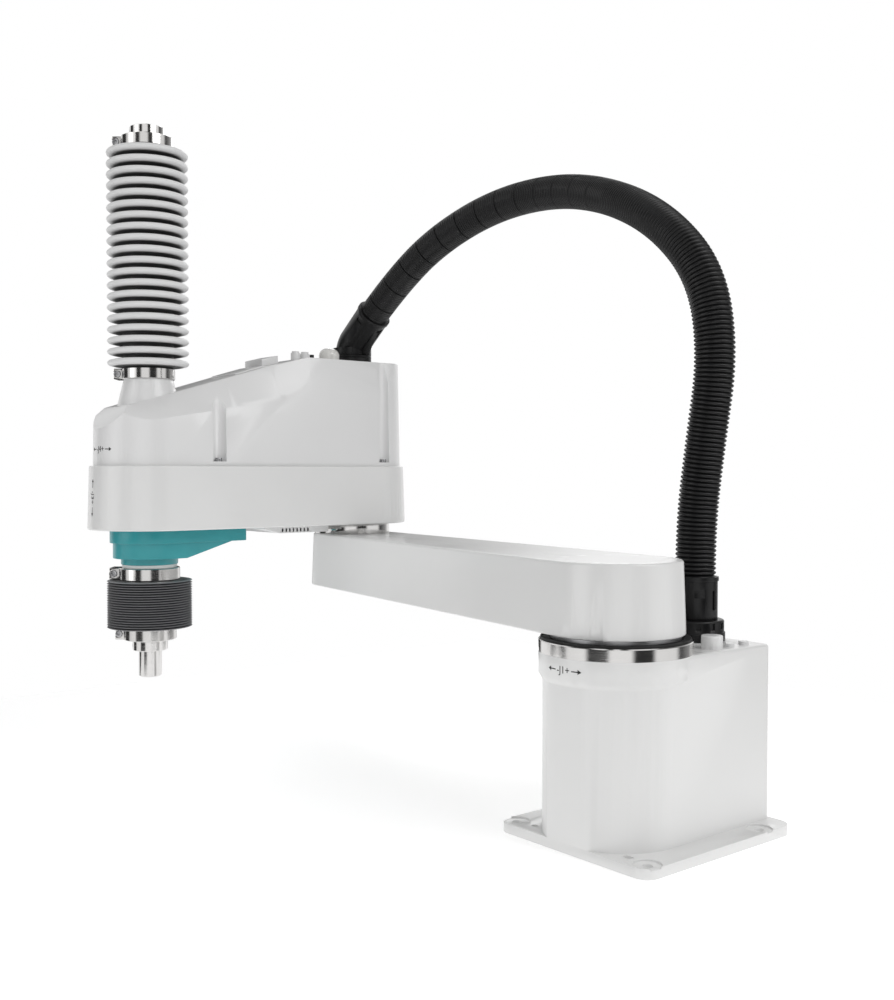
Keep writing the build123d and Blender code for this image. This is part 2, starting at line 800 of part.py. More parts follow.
def roof_solid(inset):
    """Everything under the roof, moved in by inset."""
    faces = []
    for distance, crease_h, ridge_w, ridge_h in roof_sections:
        ridge = (ridge_w - inset * 0.6, seam_z + ridge_h - inset)
        crease = (crease_half_w - inset * 0.6, seam_z + crease_h - inset)
        # the bevel goes on past the crease, where the side wall cuts it
        fall = (ridge[1] - crease[1]) / (crease[0] - ridge[0])
        side = (band_r + 4, crease[1] - fall * (band_r + 4 - crease[0]))
        with BuildSketch(fore_cross_plane(distance)) as section:
            with BuildLine():
                Polyline((side[0], seam_z - 1), side, ridge, (-ridge[0], ridge[1]), (-side[0], side[1]),
                         (-side[0], seam_z - 1), close=True)
            make_face()
        faces.append(section.sketch.face())
    return loft(faces, ruled=True)


def nose_wedge(inset):
    """What the bevel of the nose cuts off."""
    run = nose_low[0] - nose_high[0]
    rise = nose_high[1] - nose_low[1]
    steep = (run * run + rise * rise) ** 0.5
    back = inset * steep / rise
    low_z = seam_z + nose_low[1] - 2 * rise
    high_z = seam_z + nose_high[1] + rise
    low_x = fore_l + nose_low[0]
    high_x = fore_l + nose_high[0]
    with BuildSketch(fore_side_plane()) as wedge:
        with BuildLine():
            Polyline((low_x + 2 * run - back, low_z), (high_x - run - back, high_z),
                     (low_x + 4 * run, high_z), (low_x + 4 * run, low_z), close=True)
        make_face()
    return extrude(wedge.sketch, amount=band_r, both=True)


def cover_solid(inset, base_z):
    """The cover as a full body, moved in by inset and standing on base_z."""
    lean = tan(radians(cover_draft))
    height = roof_z - seam_z + 1
    foot_r = cover_r - inset + lean * (seam_z - base_z)
    walls = loft([fore_outline(base_z, foot_r), fore_outline(seam_z + height, cover_r - inset - lean * height)],
                 ruled=True)
    return (walls & roof_solid(inset)) - nose_wedge(inset)


neck_foot_z = seam_z + neck_foot_h
neck_tube_r = clamp_r - clamp_wall - cuff_t
cover_outside = cover_solid(0, seam_z)
cover_inside = cover_solid(cover_wall, seam_z - 1)
# the wall goes round inside each screw groove
with BuildSketch(fore_plane(seam_z)) as groove_rounds:
    with Locations(groove_centres):
        Circle(groove_r + cover_wall)
groove_walls = extrude(groove_rounds.sketch, amount=roof_z - seam_z) & cover_outside

with BuildPart() as forearm_cover:
    add(cover_outside)
    with BuildSketch(quill_side_plane()):
        with BuildLine():
            Polyline((0, neck_foot_z - 20), (neck_foot_r, neck_foot_z - 20), (neck_foot_r, neck_foot_z),
                     (neck_top_r, neck_z), (neck_tube_r, neck_z), (neck_tube_r, clamp_top_z), (0, clamp_top_z),
                     close=True)
        make_face()
    revolve(axis=quill_axis)
    add(cover_inside, mode=Mode.SUBTRACT)
    with BuildSketch(quill_side_plane()):
        with BuildLine():
            Polyline((0, neck_foot_z - 24), (neck_foot_r - cover_wall, neck_foot_z - 24),
                     (neck_foot_r - cover_wall, neck_foot_z - 1), (neck_top_r - cover_wall, neck_z - 2),
                     (neck_tube_r - 2.5, neck_z + 1), (neck_tube_r - 2.5, clamp_top_z), (0, clamp_top_z),
                     close=True)
        make_face()
    revolve(axis=quill_axis, mode=Mode.SUBTRACT)
    add(groove_walls)
    with BuildSketch(fore_plane(seam_z + groove_floor_h)):
        with Locations(groove_centres):
            Circle(groove_r)
    extrude(amount=roof_z - seam_z, mode=Mode.SUBTRACT)
    with BuildSketch(fore_plane(seam_z - 1)):
        with Locations(screw_places):
            Circle(cover_screw_r)
    extrude(amount=groove_floor_h + 2, mode=Mode.SUBTRACT)
    # holes in the roof: conduit, button and fittings
    with BuildSketch(fore_plane(roof_z - 4 * cover_wall)):
        Circle(conduit_bore_r)
        with Locations((button_x, lamp_y)):
            Circle(button_r + 0.1)
        with Locations([(x, lamp_y) for x in fitting_x]):
            Circle(fitting_r / 2)
    extrude(amount=5 * cover_wall, mode=Mode.SUBTRACT)
save(forearm_cover, "forearm_cover")

cover_screws = screw_set(fore_plane(seam_z + groove_floor_h), screw_places, cover_screw_head_r,
                         cover_screw_head_r, cover_screw_r, groove_floor_h + cover_boss_l - 3, 2.2)
save(cover_screws, "cover_screws")

# Drive of J2, in the forearm

with BuildPart() as j2_reducer:
    with BuildSketch(fore_plane(floor_z)):
        Circle(j2_reducer_r)
    extrude(amount=j2_reducer_h)
    with BuildSketch(fore_plane(floor_z)):
        Circle(j2_hub_r + running_gap)
    extrude(amount=j2_hub_l + face_gap, mode=Mode.SUBTRACT)
save(j2_reducer, "j2_reducer")

with BuildPart() as j2_motor:
    with BuildSketch(fore_plane(floor_z + j2_reducer_h)):
        RectangleRounded(j2_motor_w, j2_motor_w, 6)
    extrude(amount=j2_motor_h)
save(j2_motor, "j2_motor")

# Motors of Z and of the shaft's turn, side by side, each over its belt pulley

motor_x = fore_l - motor_back
r_plate_z = r_belt_z + pulley_w + flange_t + 3.5
z_plate_z = z_belt_z + pulley_w + flange_t + 3.5


def motor_body(side_y, plate_z):
    """Square motor standing on its plate, with the shaft down to the pulley."""
    with BuildPart() as motor:
        with BuildSketch(fore_plane(plate_z + bracket_t)):
            with Locations((motor_x, side_y)):
                RectangleRounded(motor_w, motor_w, 3)
        extrude(amount=motor_h)
        with BuildSketch(fore_plane(plate_z)):
            with Locations((motor_x, side_y)):
                Circle(motor_pulley_r - 1)
        extrude(amount=bracket_t)
    return motor


def motor_pulley(side_y, belt_z):
    with BuildPart() as pulley:
        with BuildSketch(fore_plane(belt_z)):
            with Locations((motor_x, side_y)):
                Circle(motor_pulley_r)
        extrude(amount=pulley_w)
        with BuildSketch(fore_plane(belt_z - flange_t), fore_plane(belt_z + pulley_w)):
            with Locations((motor_x, side_y)):
                Circle(motor_pulley_r + 3)
        extrude(amount=flange_t)
        with BuildSketch(fore_plane(belt_z)):
            with Locations((motor_x, side_y)):
                Circle(motor_shaft_r)
        extrude(amount=pulley_w + 4.5)
    return pulley


def belt(side_y, belt_z):
    """Flat belt round both pulleys, a hair clear of them."""
    with BuildPart() as loop:
        for extra, mode in ((0.1 + belt_t, Mode.ADD), (0.1, Mode.SUBTRACT)):
            with BuildSketch(fore_plane(belt_z + 1)):
                with Locations((motor_x, side_y)):
                    Circle(motor_pulley_r + extra)
                with Locations((fore_l, 0)):
                    Circle(pulley_r + extra)
                make_hull()
            extrude(amount=pulley_w - 2, mode=mode)
    return loop


def nut_body(low_z, high_z, belt_z):
    """Turning nut with its belt pulley."""
    with BuildPart() as nut:
        with BuildSketch(quill_plane(low_z)):
            Circle(nut_r)
        extrude(amount=high_z - low_z)
        with BuildSketch(quill_plane(belt_z)):
            Circle(pulley_r)
        extrude(amount=pulley_w)
        with BuildSketch(quill_plane(belt_z - flange_t), quill_plane(belt_z + pulley_w)):
            Circle(flange_r)
        extrude(amount=flange_t)
        with BuildSketch(quill_plane(low_z - flange_t)):
            Circle(shaft_r + running_gap)
        extrude(amount=high_z - low_z + 2 * flange_t, mode=Mode.SUBTRACT)
    return nut


z_motor = motor_body(motor_y, z_plate_z)
save(z_motor, "z_motor")

r_motor = motor_body(-motor_y, r_plate_z)
save(r_motor, "r_motor")

z_motor_pulley = motor_pulley(motor_y, z_belt_z)
save(z_motor_pulley, "z_motor_pulley")

r_motor_pulley = motor_pulley(-motor_y, r_belt_z)
save(r_motor_pulley, "r_motor_pulley")

z_belt = belt(motor_y, z_belt_z)
save(z_belt, "z_belt")

r_belt = belt(-motor_y, r_belt_z)
save(r_belt, "r_belt")

with BuildPart() as motor_brackets:
    for side, plate_z in ((1, z_plate_z), (-1, r_plate_z)):
        with BuildSketch(fore_plane(plate_z)):
            with Locations((motor_x, side * motor_y)):
                RectangleRounded(motor_w + 6, motor_w + 4, 4)
                Circle(motor_pulley_r - 1, mode=Mode.SUBTRACT)
        extrude(amount=bracket_t)
        with BuildSketch(fore_plane(floor_z)):
            with Locations((motor_x - motor_w / 2, side * (motor_y + motor_w / 2 - 1)),
                           (motor_x - motor_w / 2, side * (motor_y - motor_w / 2 + 1)),
                           (motor_x + motor_w / 2, side * (motor_y + motor_w / 2 - 1))):
                Circle(3.5)
        extrude(amount=plate_z - floor_z)
save(motor_brackets, "motor_brackets")

spline_low_z = skirt_z + 5
ball_top_z = z_plate_z + 60
spline_nut = nut_body(spline_low_z, r_belt_z + pulley_w, r_belt_z)
save(spline_nut, "spline_nut")

ball_nut = nut_body(z_belt_z, ball_top_z, z_belt_z)
save(ball_nut, "ball_nut")

# Bearing housings of the two nuts

housing_low_z = skirt_z + 9
housing_top_z = r_belt_z - flange_t - 1.5

with BuildPart() as spline_nut_housing:
    with BuildSketch(quill_plane(housing_low_z)):
        Circle(housing_r)
    extrude(amount=housing_top_z - housing_low_z)
    with BuildSketch(quill_plane(floor_z)):
        Circle(housing_r + 8)
    extrude(amount=6)
    with BuildSketch(quill_plane(housing_low_z)):
        Circle(nut_r + running_gap)
    extrude(amount=housing_top_z - housing_low_z, mode=Mode.SUBTRACT)
save(spline_nut_housing, "spline_nut_housing")

pedestal_z = z_belt_z + pulley_w + flange_t + 4.5
pillar_places = [(fore_l - 35, 47), (fore_l - 35, -47), (fore_l + 30, 38), (fore_l + 30, -38)]

with BuildPart() as nut_pedestal:
    with BuildSketch(fore_plane(pedestal_z)):
        with Locations(pillar_places):
            Circle(pillar_r + 1.5)
        make_hull()
        with Locations((fore_l, 0)):
            Circle(nut_r + 3, mode=Mode.SUBTRACT)
    extrude(amount=pedestal_t)
    with BuildSketch(fore_plane(floor_z)):
        with Locations(pillar_places):
            Circle(pillar_r)
    extrude(amount=pedestal_z - floor_z)
save(nut_pedestal, "nut_pedestal")

ball_nut_housing = round_piece(quill_plane(pedestal_z + pedestal_t), ball_housing_h, housing_r,
                               nut_r + running_gap)
save(ball_nut_housing, "ball_nut_housing")

# Cover under J3, with the spout that the shaft comes out of

tail_x = fore_l - tail_l


def skirt_outline(height, inset):
    """Outline of the lower cover: round at J3 and square at the tail."""
    corner_x = tail_x + tail_corner_r
    corner_y = tail_half_w - tail_corner_r
    with BuildSketch(fore_plane(height)) as outline:
        with Locations((fore_l, 0)):
            Circle(skirt_r - inset)
        with Locations((corner_x, corner_y), (corner_x, -corner_y)):
            Circle(max(tail_corner_r - inset, 0.5))
        make_hull()
        if inset > 0:
            with Locations((tail_x, 0)):
                Rectangle(2 * inset, 2 * skirt_r, mode=Mode.SUBTRACT)
    return outline.sketch


def skirt_solid(inset):
    """The lower cover as a full body, moved in by inset."""
    upper_z = fore_z - skirt_h + inset
    upper = extrude(skirt_outline(upper_z, inset), amount=fore_z - upper_z)
    lower = extrude(skirt_outline(skirt_z + inset, skirt_step + inset), amount=fore_z - skirt_z - inset)
    low_z = skirt_z + inset
    rise_z = low_z + skirt_drop - skirt_h
    with BuildSketch(fore_side_plane()) as wedge:
        with BuildLine():
            Polyline((fore_l - tail_rise_from, low_z), (fore_l - tail_rise_to, rise_z),
                     (tail_x - skirt_r, rise_z), (tail_x - skirt_r, skirt_z - skirt_h),
                     (fore_l - tail_rise_from, skirt_z - skirt_h), close=True)
        make_face()
    return upper + (lower - extrude(wedge.sketch, amount=skirt_r + 5, both=True))


spout_bore_r = spout_tube_r - spout_wall

skirt_outside = skirt_solid(0)
skirt_inside = skirt_solid(skirt_wall)

with BuildPart() as lower_cover:
    add(skirt_outside)
    add(skirt_inside, mode=Mode.SUBTRACT)
    with BuildSketch(quill_plane(spout_z)):
        Circle(spout_r)
    extrude(amount=spout_h)
    with BuildSketch(quill_plane(tube_low_z)):
        Circle(spout_tube_r)
    extrude(amount=spout_z - tube_low_z)
    with BuildSketch(quill_plane(tube_low_z)):
        Circle(spout_bore_r)
    extrude(amount=skirt_z + 2 * skirt_wall - tube_low_z, mode=Mode.SUBTRACT)
save(lower_cover, "lower_cover")

lower_cover_seal = round_piece(quill_plane(seal_z), seal_h, seal_r, spout_tube_r)
save(lower_cover_seal, "lower_cover_seal")

# Slotted block under the forearm

vent_to = tail_x - vent_gap
vent_slot_to = vent_to - vent_slope_l - vent_slot_margin

with BuildPart() as underside_vent:
    for inset in (0, 2):
        with BuildSketch(fore_side_plane(-vent_w / 2 + inset)):
            with BuildLine():
                Polyline((vent_from + inset, fore_z + inset), (vent_from + inset, fore_z - vent_h + inset),
                         (vent_to - vent_slope_l - inset / 2, fore_z - vent_h + inset),
                         (vent_to - inset, fore_z - 3 + inset / 2), (vent_to - inset, fore_z + inset), close=True)
            make_face()
        extrude(amount=-(vent_w - 2 * inset), mode=Mode.ADD if inset == 0 else Mode.SUBTRACT)
    with BuildSketch(fore_plane(fore_z)):
        with Locations(((vent_from + vent_to) / 2, 0)):
            Rectangle(2 * vent_to, 2 * vent_w)
    extrude(amount=10, mode=Mode.SUBTRACT)
    with BuildSketch(fore_side_plane()):
        with Locations([(vent_slot_to - i * vent_slot_pitch, fore_z - vent_h / 2 - 0.8)
                        for i in range(vent_slot_count)]):
            Rectangle(vent_slot_w, vent_h / 2)
    extrude(amount=vent_w, both=True, mode=Mode.SUBTRACT)
save(underside_vent, "underside_vent")

# Split clamps on the J3 axis


def split_clamp(height, length, inner_r, outer_r, reach):
    """Ring split between two ears, pulled together by one screw."""
    with BuildPart() as clamp:
        with BuildSketch(quill_plane(height, ear_heading)):
            Circle(outer_r)
            with Locations((reach / 2, 0)):
                Rectangle(reach, ear_w)
            Circle(inner_r, mode=Mode.SUBTRACT)
            with Locations((reach - reach / 4, 0)):
                Rectangle(reach, slit_w, mode=Mode.SUBTRACT)
        extrude(amount=length)
        with BuildSketch(ear_plane(height + length / 2, outer_r, reach, ear_w / 2)):
            Circle(clamp_screw_r)
        extrude(amount=-ear_w, mode=Mode.SUBTRACT)
    return clamp


def ear_plane(height, outer_r, reach, side):
    """Plane on the side of the ears, with its origin on the screw."""
    along = heading_axis(ear_heading)
    across = heading_axis(ear_heading + 90)
    middle = (outer_r + reach) / 2
    origin = (j3_x + along[0] * middle + across[0] * side, j3_y + along[1] * middle + across[1] * side, height)
    return Plane(origin=origin, x_dir=along, z_dir=across)


def clamp_screw(height, outer_r, reach):
    return screw_set(ear_plane(height, outer_r, reach, ear_w / 2), [(0, 0)], clamp_screw_head_r,
                     clamp_screw_head_r, clamp_screw_r, ear_w - 1, 2.0)


clamp_bore_r = clamp_r - clamp_wall
bellows_base_clamp = split_clamp(neck_z, clamp_h, clamp_bore_r, clamp_r, ear_reach)
save(bellows_base_clamp, "bellows_base_clamp")

spout_clamp_bore_r = spout_tube_r + cuff_t
lower_bellows_top_clamp = split_clamp(tube_low_z, lower_clamp_h, spout_clamp_bore_r, lower_top_clamp_r,
                                      lower_top_ear_reach)
save(lower_bellows_top_clamp, "lower_bellows_top_clamp")

with BuildPart() as forearm_clamp_screws:
    add(clamp_screw(neck_z + clamp_h / 2, clamp_r, ear_reach).part)
    add(clamp_screw(tube_low_z + lower_clamp_h / 2, lower_top_clamp_r, lower_top_ear_reach).part)
save(forearm_clamp_screws, "forearm_clamp_screws")

upper_swivel_r = clamp_bore_r - cuff_t
upper_bellows_clamp = split_clamp(top_clamp_z, clamp_h, clamp_bore_r, clamp_r, ear_reach)
save(upper_bellows_clamp, "upper_bellows_clamp")

end_clamp_bore_r = clamp_bore_r - 0.5
lower_bellows_clamp = split_clamp(end_clamp_z, lower_clamp_h, end_clamp_bore_r, clamp_r, ear_reach)
save(lower_bellows_clamp, "lower_bellows_clamp")

with BuildPart() as carriage_clamp_screws:
    add(clamp_screw(top_clamp_z + clamp_h / 2, clamp_r, ear_reach).part)
    add(clamp_screw(end_clamp_z + lower_clamp_h / 2, clamp_r, ear_reach).part)
save(carriage_clamp_screws, "carriage_clamp_screws")

upper_swivel_ring = round_piece(quill_plane(top_clamp_z), collar_low_z - face_gap - top_clamp_z,
                                upper_swivel_r, shaft_r + running_gap)
save(upper_swivel_ring, "upper_swivel_ring")

lower_swivel_z = stop_collar_z + stop_collar_h + face_gap
lower_swivel_r = end_clamp_bore_r - cuff_t
lower_swivel_ring = round_piece(quill_plane(lower_swivel_z), end_clamp_z + lower_clamp_h - lower_swivel_z,
                                lower_swivel_r, shaft_r + running_gap)
save(lower_swivel_ring, "lower_swivel_ring")

# Bellows, each with a plain cuff at both ends


def bellows(low_z, low_cuff_h, low_r, high_z, high_cuff_h, high_r, tip_r, root_r):
    """Folded tube between two cuffs; low_z and high_z are its ends."""
    fold_low = low_z + low_cuff_h
    fold_high = high_z - high_cuff_h
    pitch = (fold_high - fold_low) / fold_count
    outside = [(low_r + cuff_t, low_z), (low_r + cuff_t, fold_low)]
    for i in range(fold_count):
        outside.append((root_r, fold_low + pitch * (i + 0.08)))
        outside.append((tip_r, fold_low + pitch * (i + 0.5)))
        outside.append((root_r, fold_low + pitch * (i + 0.92)))
    outside += [(high_r + cuff_t, fold_high), (high_r + cuff_t, high_z)]
    inside = [(high_r, high_z), (high_r, fold_high), (root_r - 1, fold_high - pitch),
              (root_r - 1, fold_low + pitch), (low_r, fold_low), (low_r, low_z)]
    with BuildPart() as folded:
        with BuildSketch(quill_side_plane()):
            with BuildLine():
                Polyline(outside + inside, close=True)
            make_face()
        revolve(axis=quill_axis)
    return folded


upper_bellows = bellows(neck_z, clamp_h, neck_tube_r, top_clamp_z + clamp_h, clamp_h, upper_swivel_r,
                        fold_r, fold_root_r)
save(upper_bellows, "upper_bellows")

lower_bellows = bellows(end_clamp_z, lower_clamp_h, lower_swivel_r, seal_z, lower_clamp_h, spout_tube_r,
                        lower_fold_r, lower_root_r)
save(lower_bellows, "lower_bellows")

# Screw-spline shaft with its two collars

with BuildPart() as screw_spline_shaft:
    with BuildSketch(quill_plane(shaft_tip_z)):
        Circle(shaft_r)
    extrude(amount=shaft_top_z - shaft_tip_z)
    chamfer(screw_spline_shaft.edges().filter_by(GeomType.CIRCLE), 1.2)
    # relief under the stop collar
    with BuildSketch(quill_plane(stop_collar_z - 1)):
        Circle(shaft_r + 1)
        Circle(shaft_r - 0.3, mode=Mode.SUBTRACT)
    extrude(amount=1, mode=Mode.SUBTRACT)
    # flat for the tool's setscrew
    with BuildSketch(quill_plane(shaft_tip_z + flat_up, ear_heading)):
        with Locations((2 * shaft_r - flat_depth, 0)):
            Rectangle(2 * shaft_r, 2 * shaft_r)
    extrude(amount=flat_h, mode=Mode.SUBTRACT)
save(screw_spline_shaft, "screw_spline_shaft")


def shaft_collar(height, length):
    """Collar on the shaft with a radial setscrew hole."""
    with BuildPart() as collar:
        with BuildSketch(quill_plane(height)):
            Circle(collar_ring_r)
            Circle(shaft_r, mode=Mode.SUBTRACT)
        extrude(amount=length)
        chamfer(collar.edges().filter_by(GeomType.CIRCLE).sort_by(SortBy.RADIUS)[-2:], 0.8)
        with BuildSketch(Plane(origin=(j3_x, j3_y, height + length / 2), x_dir=heading_axis(ear_heading + 90),
                               z_dir=heading_axis(ear_heading))):
            Circle(2)
        extrude(amount=2 * collar_ring_r, mode=Mode.SUBTRACT)
    return collar


top_collar = shaft_collar(collar_low_z, top_collar_h)
save(top_collar, "top_collar")

stop_collar = shaft_collar(stop_collar_z, stop_collar_h)
save(stop_collar, "stop_collar")

# Pieces on the cover's roof


def roof_height(distance):
    """Height of the ridge at a distance from the J2 axis."""
    for low, high in zip(roof_sections, roof_sections[1:]):
        if distance <= high[0]:
            share = (distance - low[0]) / (high[0] - low[0])
            return seam_z + low[3] + share * (high[3] - low[3])
    return seam_z


def roof_slab(from_x, to_x, width, height):
    """Slab lying on the roof, with its top level with the slope."""
    with BuildPart() as slab:
        with BuildSketch(fore_side_plane(-width / 2)):
            with BuildLine():
                Polyline((from_x, roof_height(from_x) - 4), (from_x, roof_height(from_x) + height),
                         (to_x, roof_height(to_x) + height), (to_x, roof_height(to_x) - 4), close=True)
            make_face()
        extrude(amount=-width)
        add(cover_outside, mode=Mode.SUBTRACT)
    return slab


with BuildPart() as status_lamp:
    with BuildSketch(fore_plane(roof_z)):
        with Locations((lamp_x, lamp_y)):
            Circle(lamp_r)
    extrude(amount=lamp_h)
    fillet(status_lamp.edges().group_by(Axis.Z)[-1], lamp_h * 0.6)
save(status_lamp, "status_lamp")

user_connector = roof_slab(connector_x - connector_l / 2, connector_x + connector_l / 2, connector_w,
                           connector_h)
save(user_connector, "user_connector")

roof_hatch = roof_slab(hatch_x - hatch_l / 2, hatch_x + hatch_l / 2, hatch_w, hatch_t)
save(roof_hatch, "roof_hatch")

with BuildPart() as air_fittings:
    for fitting in fitting_x:
        with BuildSketch(fore_plane(roof_z - 4 * cover_wall)):
            with Locations((fitting, lamp_y)):
                Circle(fitting_r)
        extrude(amount=4 * cover_wall + fitting_h)
    add(cover_outside, mode=Mode.SUBTRACT)
    for fitting in fitting_x:
        with BuildSketch(fore_plane(roof_z - 2 * cover_wall)):
            with Locations((fitting, lamp_y)):
                Circle(fitting_r / 2)
        extrude(amount=2 * cover_wall + fitting_h)
        with BuildSketch(fore_plane(roof_z + fitting_h)):
            with Locations((fitting, lamp_y)):
                Circle(fitting_r - 1.2)
        extrude(amount=2)
        # hose opening
        with BuildSketch(fore_plane(roof_z)):
            with Locations((fitting, lamp_y)):
                Circle(fitting_r / 2 - 0.6)
        extrude(amount=fitting_h + 2, mode=Mode.SUBTRACT)
save(air_fittings, "air_fittings")

with BuildPart() as brake_release_button:
    with BuildSketch(fore_plane(roof_z - cover_wall)):
        with Locations((button_x, lamp_y)):
            Circle(button_r)
    extrude(amount=cover_wall + button_h)
    with BuildSketch(fore_plane(roof_z - cover_wall - 0.2)):
        with Locations((button_x, lamp_y)):
            Circle(button_r + 2)
    extrude(amount=-2.5)
    with BuildSketch(fore_plane(roof_z - cover_wall - 0.2)):
        with Locations((button_x, lamp_y)):
            Circle(button_r)
    extrude(amount=0.3)
save(brake_release_button, "brake_release_button")

# Elbow and hose, in the upright plane from the J2 axis to the socket on the base

hose_run = ((socket_x - j2_x) ** 2 + j2_y ** 2) ** 0.5
hose_heading = degrees(atan2(-j2_y, socket_x - j2_x))
hose_plane = Plane(origin=(j2_x, j2_y, 0), x_dir=heading_axis(hose_heading),
                   z_dir=heading_axis(hose_heading - 90))
foot_top_z = roof_z + foot_h
skirt_low_z = foot_top_z + face_gap
mouth = Vector(elbow_reach, roof_z + elbow_mouth_h)
leave = Vector(sin(radians(elbow_angle)), cos(radians(elbow_angle)))
elbow_corner_z = mouth.Y - elbow_reach / tan(radians(elbow_angle))

conduit_foot = round_piece(fore_plane(roof_z), foot_h, foot_r, elbow_r + running_gap)
save(conduit_foot, "conduit_foot")


def elbow_tube(radius, start_z, past):
    """Solid bent rod along the elbow's centre line, drawn on past the mouth."""
    end = mouth + leave * past
    with BuildPart() as tube:
        with BuildLine(hose_plane):
            FilletPolyline((0, start_z), (0, elbow_corner_z), (end.X, end.Y), radius=elbow_bend_r)
        with BuildSketch(fore_plane(start_z)):
            Circle(radius)
        sweep()
    return tube.part


elbow_outside = elbow_tube(elbow_r, roof_z + face_gap, 0)
elbow_inside = elbow_tube(conduit_bore_r, roof_z, 5)

with BuildPart() as conduit_elbow:
    add(elbow_outside)
    with BuildSketch(fore_plane(skirt_low_z)):
        Circle(foot_r)
    extrude(amount=elbow_skirt_h)
    # rib under the bend
    with BuildSketch(hose_plane):
        with BuildLine():
            Polyline((elbow_r - 4, skirt_low_z), (foot_r + 6, skirt_low_z), (elbow_reach + 4, mouth.Y - 22),
                     (elbow_r, mouth.Y - 22), close=True)
        make_face()
    extrude(amount=3, both=True)
    # rim at the mouth
    with BuildSketch(Plane(origin=hose_plane.from_local_coords(mouth), x_dir=hose_plane.z_dir,
                           z_dir=hose_plane.from_local_coords(leave) - hose_plane.origin)):
        Circle(elbow_r + 1)
    extrude(amount=-4)
    add(elbow_inside, mode=Mode.SUBTRACT)
save(conduit_elbow, "conduit_elbow")

# Centre line of the hose from the socket to the elbow: along the plane, height
hose_points = [
    (hose_run, cuff_top_z),
    (hose_run, cuff_top_z + 57),
    (hose_run + 6, cuff_top_z + 140),
    (hose_run + 25, cuff_top_z + 220),
    (hose_run + 11, cuff_top_z + 292),
    (hose_run * 0.921, mouth.Y + 51.5),
    (hose_run * 0.779, mouth.Y + 88.5),
    (hose_run * 0.608, mouth.Y + 105.5),
    (hose_run * 0.431, mouth.Y + 96.5),
    (hose_run * 0.283, mouth.Y + 70.5),
    (mouth.X + 60 * leave.X, mouth.Y + 60 * leave.Y),
    (mouth.X, mouth.Y),
]
hose_radii = []
for before, corner, after in zip(hose_points, hose_points[1:], hose_points[2:]):
    run_in = Vector(*corner) - Vector(*before)
    run_out = Vector(*after) - Vector(*corner)
    half_turn = radians(run_in.get_angle(run_out)) / 2
    hose_radii.append(0.45 * min(run_in.length, run_out.length) / tan(half_turn))
print("hose radii", [round(radius) for radius in hose_radii])

with BuildPart() as conduit_hose:
    with BuildLine(hose_plane) as hose_line:
        FilletPolyline(hose_points, radius=hose_radii)
    with BuildSketch(socket_plane(cuff_top_z)):
        Circle(conduit_r)
    sweep()
print("hose length", round(hose_line.wires()[0].length), "volume over section and length",
      round(conduit_hose.part.volume / (pi * conduit_r ** 2 * hose_line.wires()[0].length), 4))
save(conduit_hose, "conduit_hose")
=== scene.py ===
import bpy, bmesh, json, math
from mathutils import Matrix, Vector

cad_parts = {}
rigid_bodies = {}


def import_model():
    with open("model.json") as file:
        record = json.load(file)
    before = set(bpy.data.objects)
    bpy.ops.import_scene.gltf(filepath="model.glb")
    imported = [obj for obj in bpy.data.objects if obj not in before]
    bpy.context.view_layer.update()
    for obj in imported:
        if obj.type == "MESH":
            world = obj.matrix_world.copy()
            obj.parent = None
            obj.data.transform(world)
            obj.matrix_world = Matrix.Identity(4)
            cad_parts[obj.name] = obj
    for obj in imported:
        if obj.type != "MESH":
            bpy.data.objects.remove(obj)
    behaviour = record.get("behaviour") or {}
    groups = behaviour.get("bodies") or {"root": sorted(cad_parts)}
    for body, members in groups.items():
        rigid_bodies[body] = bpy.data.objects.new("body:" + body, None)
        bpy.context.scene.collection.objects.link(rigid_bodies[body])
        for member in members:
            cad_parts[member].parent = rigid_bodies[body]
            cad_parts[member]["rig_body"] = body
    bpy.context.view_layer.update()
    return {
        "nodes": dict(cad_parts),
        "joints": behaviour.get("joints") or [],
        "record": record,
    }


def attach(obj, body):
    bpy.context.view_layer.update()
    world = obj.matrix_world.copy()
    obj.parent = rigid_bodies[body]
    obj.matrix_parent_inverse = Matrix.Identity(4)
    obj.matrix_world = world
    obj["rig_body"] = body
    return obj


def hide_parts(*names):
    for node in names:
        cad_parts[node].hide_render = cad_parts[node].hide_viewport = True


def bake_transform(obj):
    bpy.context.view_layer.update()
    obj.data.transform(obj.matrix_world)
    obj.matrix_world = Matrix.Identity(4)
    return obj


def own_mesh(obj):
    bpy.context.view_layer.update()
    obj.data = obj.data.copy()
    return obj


# SCARA robot dressed over its CAD frame. Metres, the base's underside at z 0.

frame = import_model()
nodes = frame["nodes"]
jointAt = {j["name"]: Vector(j["pos_m"]) for j in frame["joints"] if "pos_m" in j}
slotOf = {s["node"]: s["material_slot"] for s in frame["record"]["subparts"]}
j2 = jointAt["j2_turn"]
j3 = jointAt["j4_turn"]
print("frame loaded", len(nodes), "nodes")


# small helpers
def deselectAll():
    if bpy.context.object and bpy.context.object.mode != "OBJECT":
        bpy.ops.object.mode_set(mode="OBJECT")
    bpy.ops.object.select_all(action="DESELECT")


def makeActive(piece):
    deselectAll()
    piece.select_set(True)
    bpy.context.view_layer.objects.active = piece


def settle(piece):
    makeActive(piece)
    bpy.ops.object.transform_apply(location=True, rotation=True, scale=True)


def applyAll(piece):
    makeActive(piece)
    for modifier in list(piece.modifiers):
        bpy.ops.object.modifier_apply(modifier=modifier.name)


def cleanMesh(piece, gap=0.00001):
    makeActive(piece)
    bpy.ops.object.mode_set(mode="EDIT")
    bpy.ops.mesh.select_all(action="SELECT")
    bpy.ops.mesh.remove_doubles(threshold=gap)
    bpy.ops.mesh.normals_make_consistent(inside=False)
    bpy.ops.object.mode_set(mode="OBJECT")


def smoothByAngle(piece, degrees=35):
    makeActive(piece)
    bpy.ops.object.shade_smooth_by_angle(angle=math.radians(degrees))


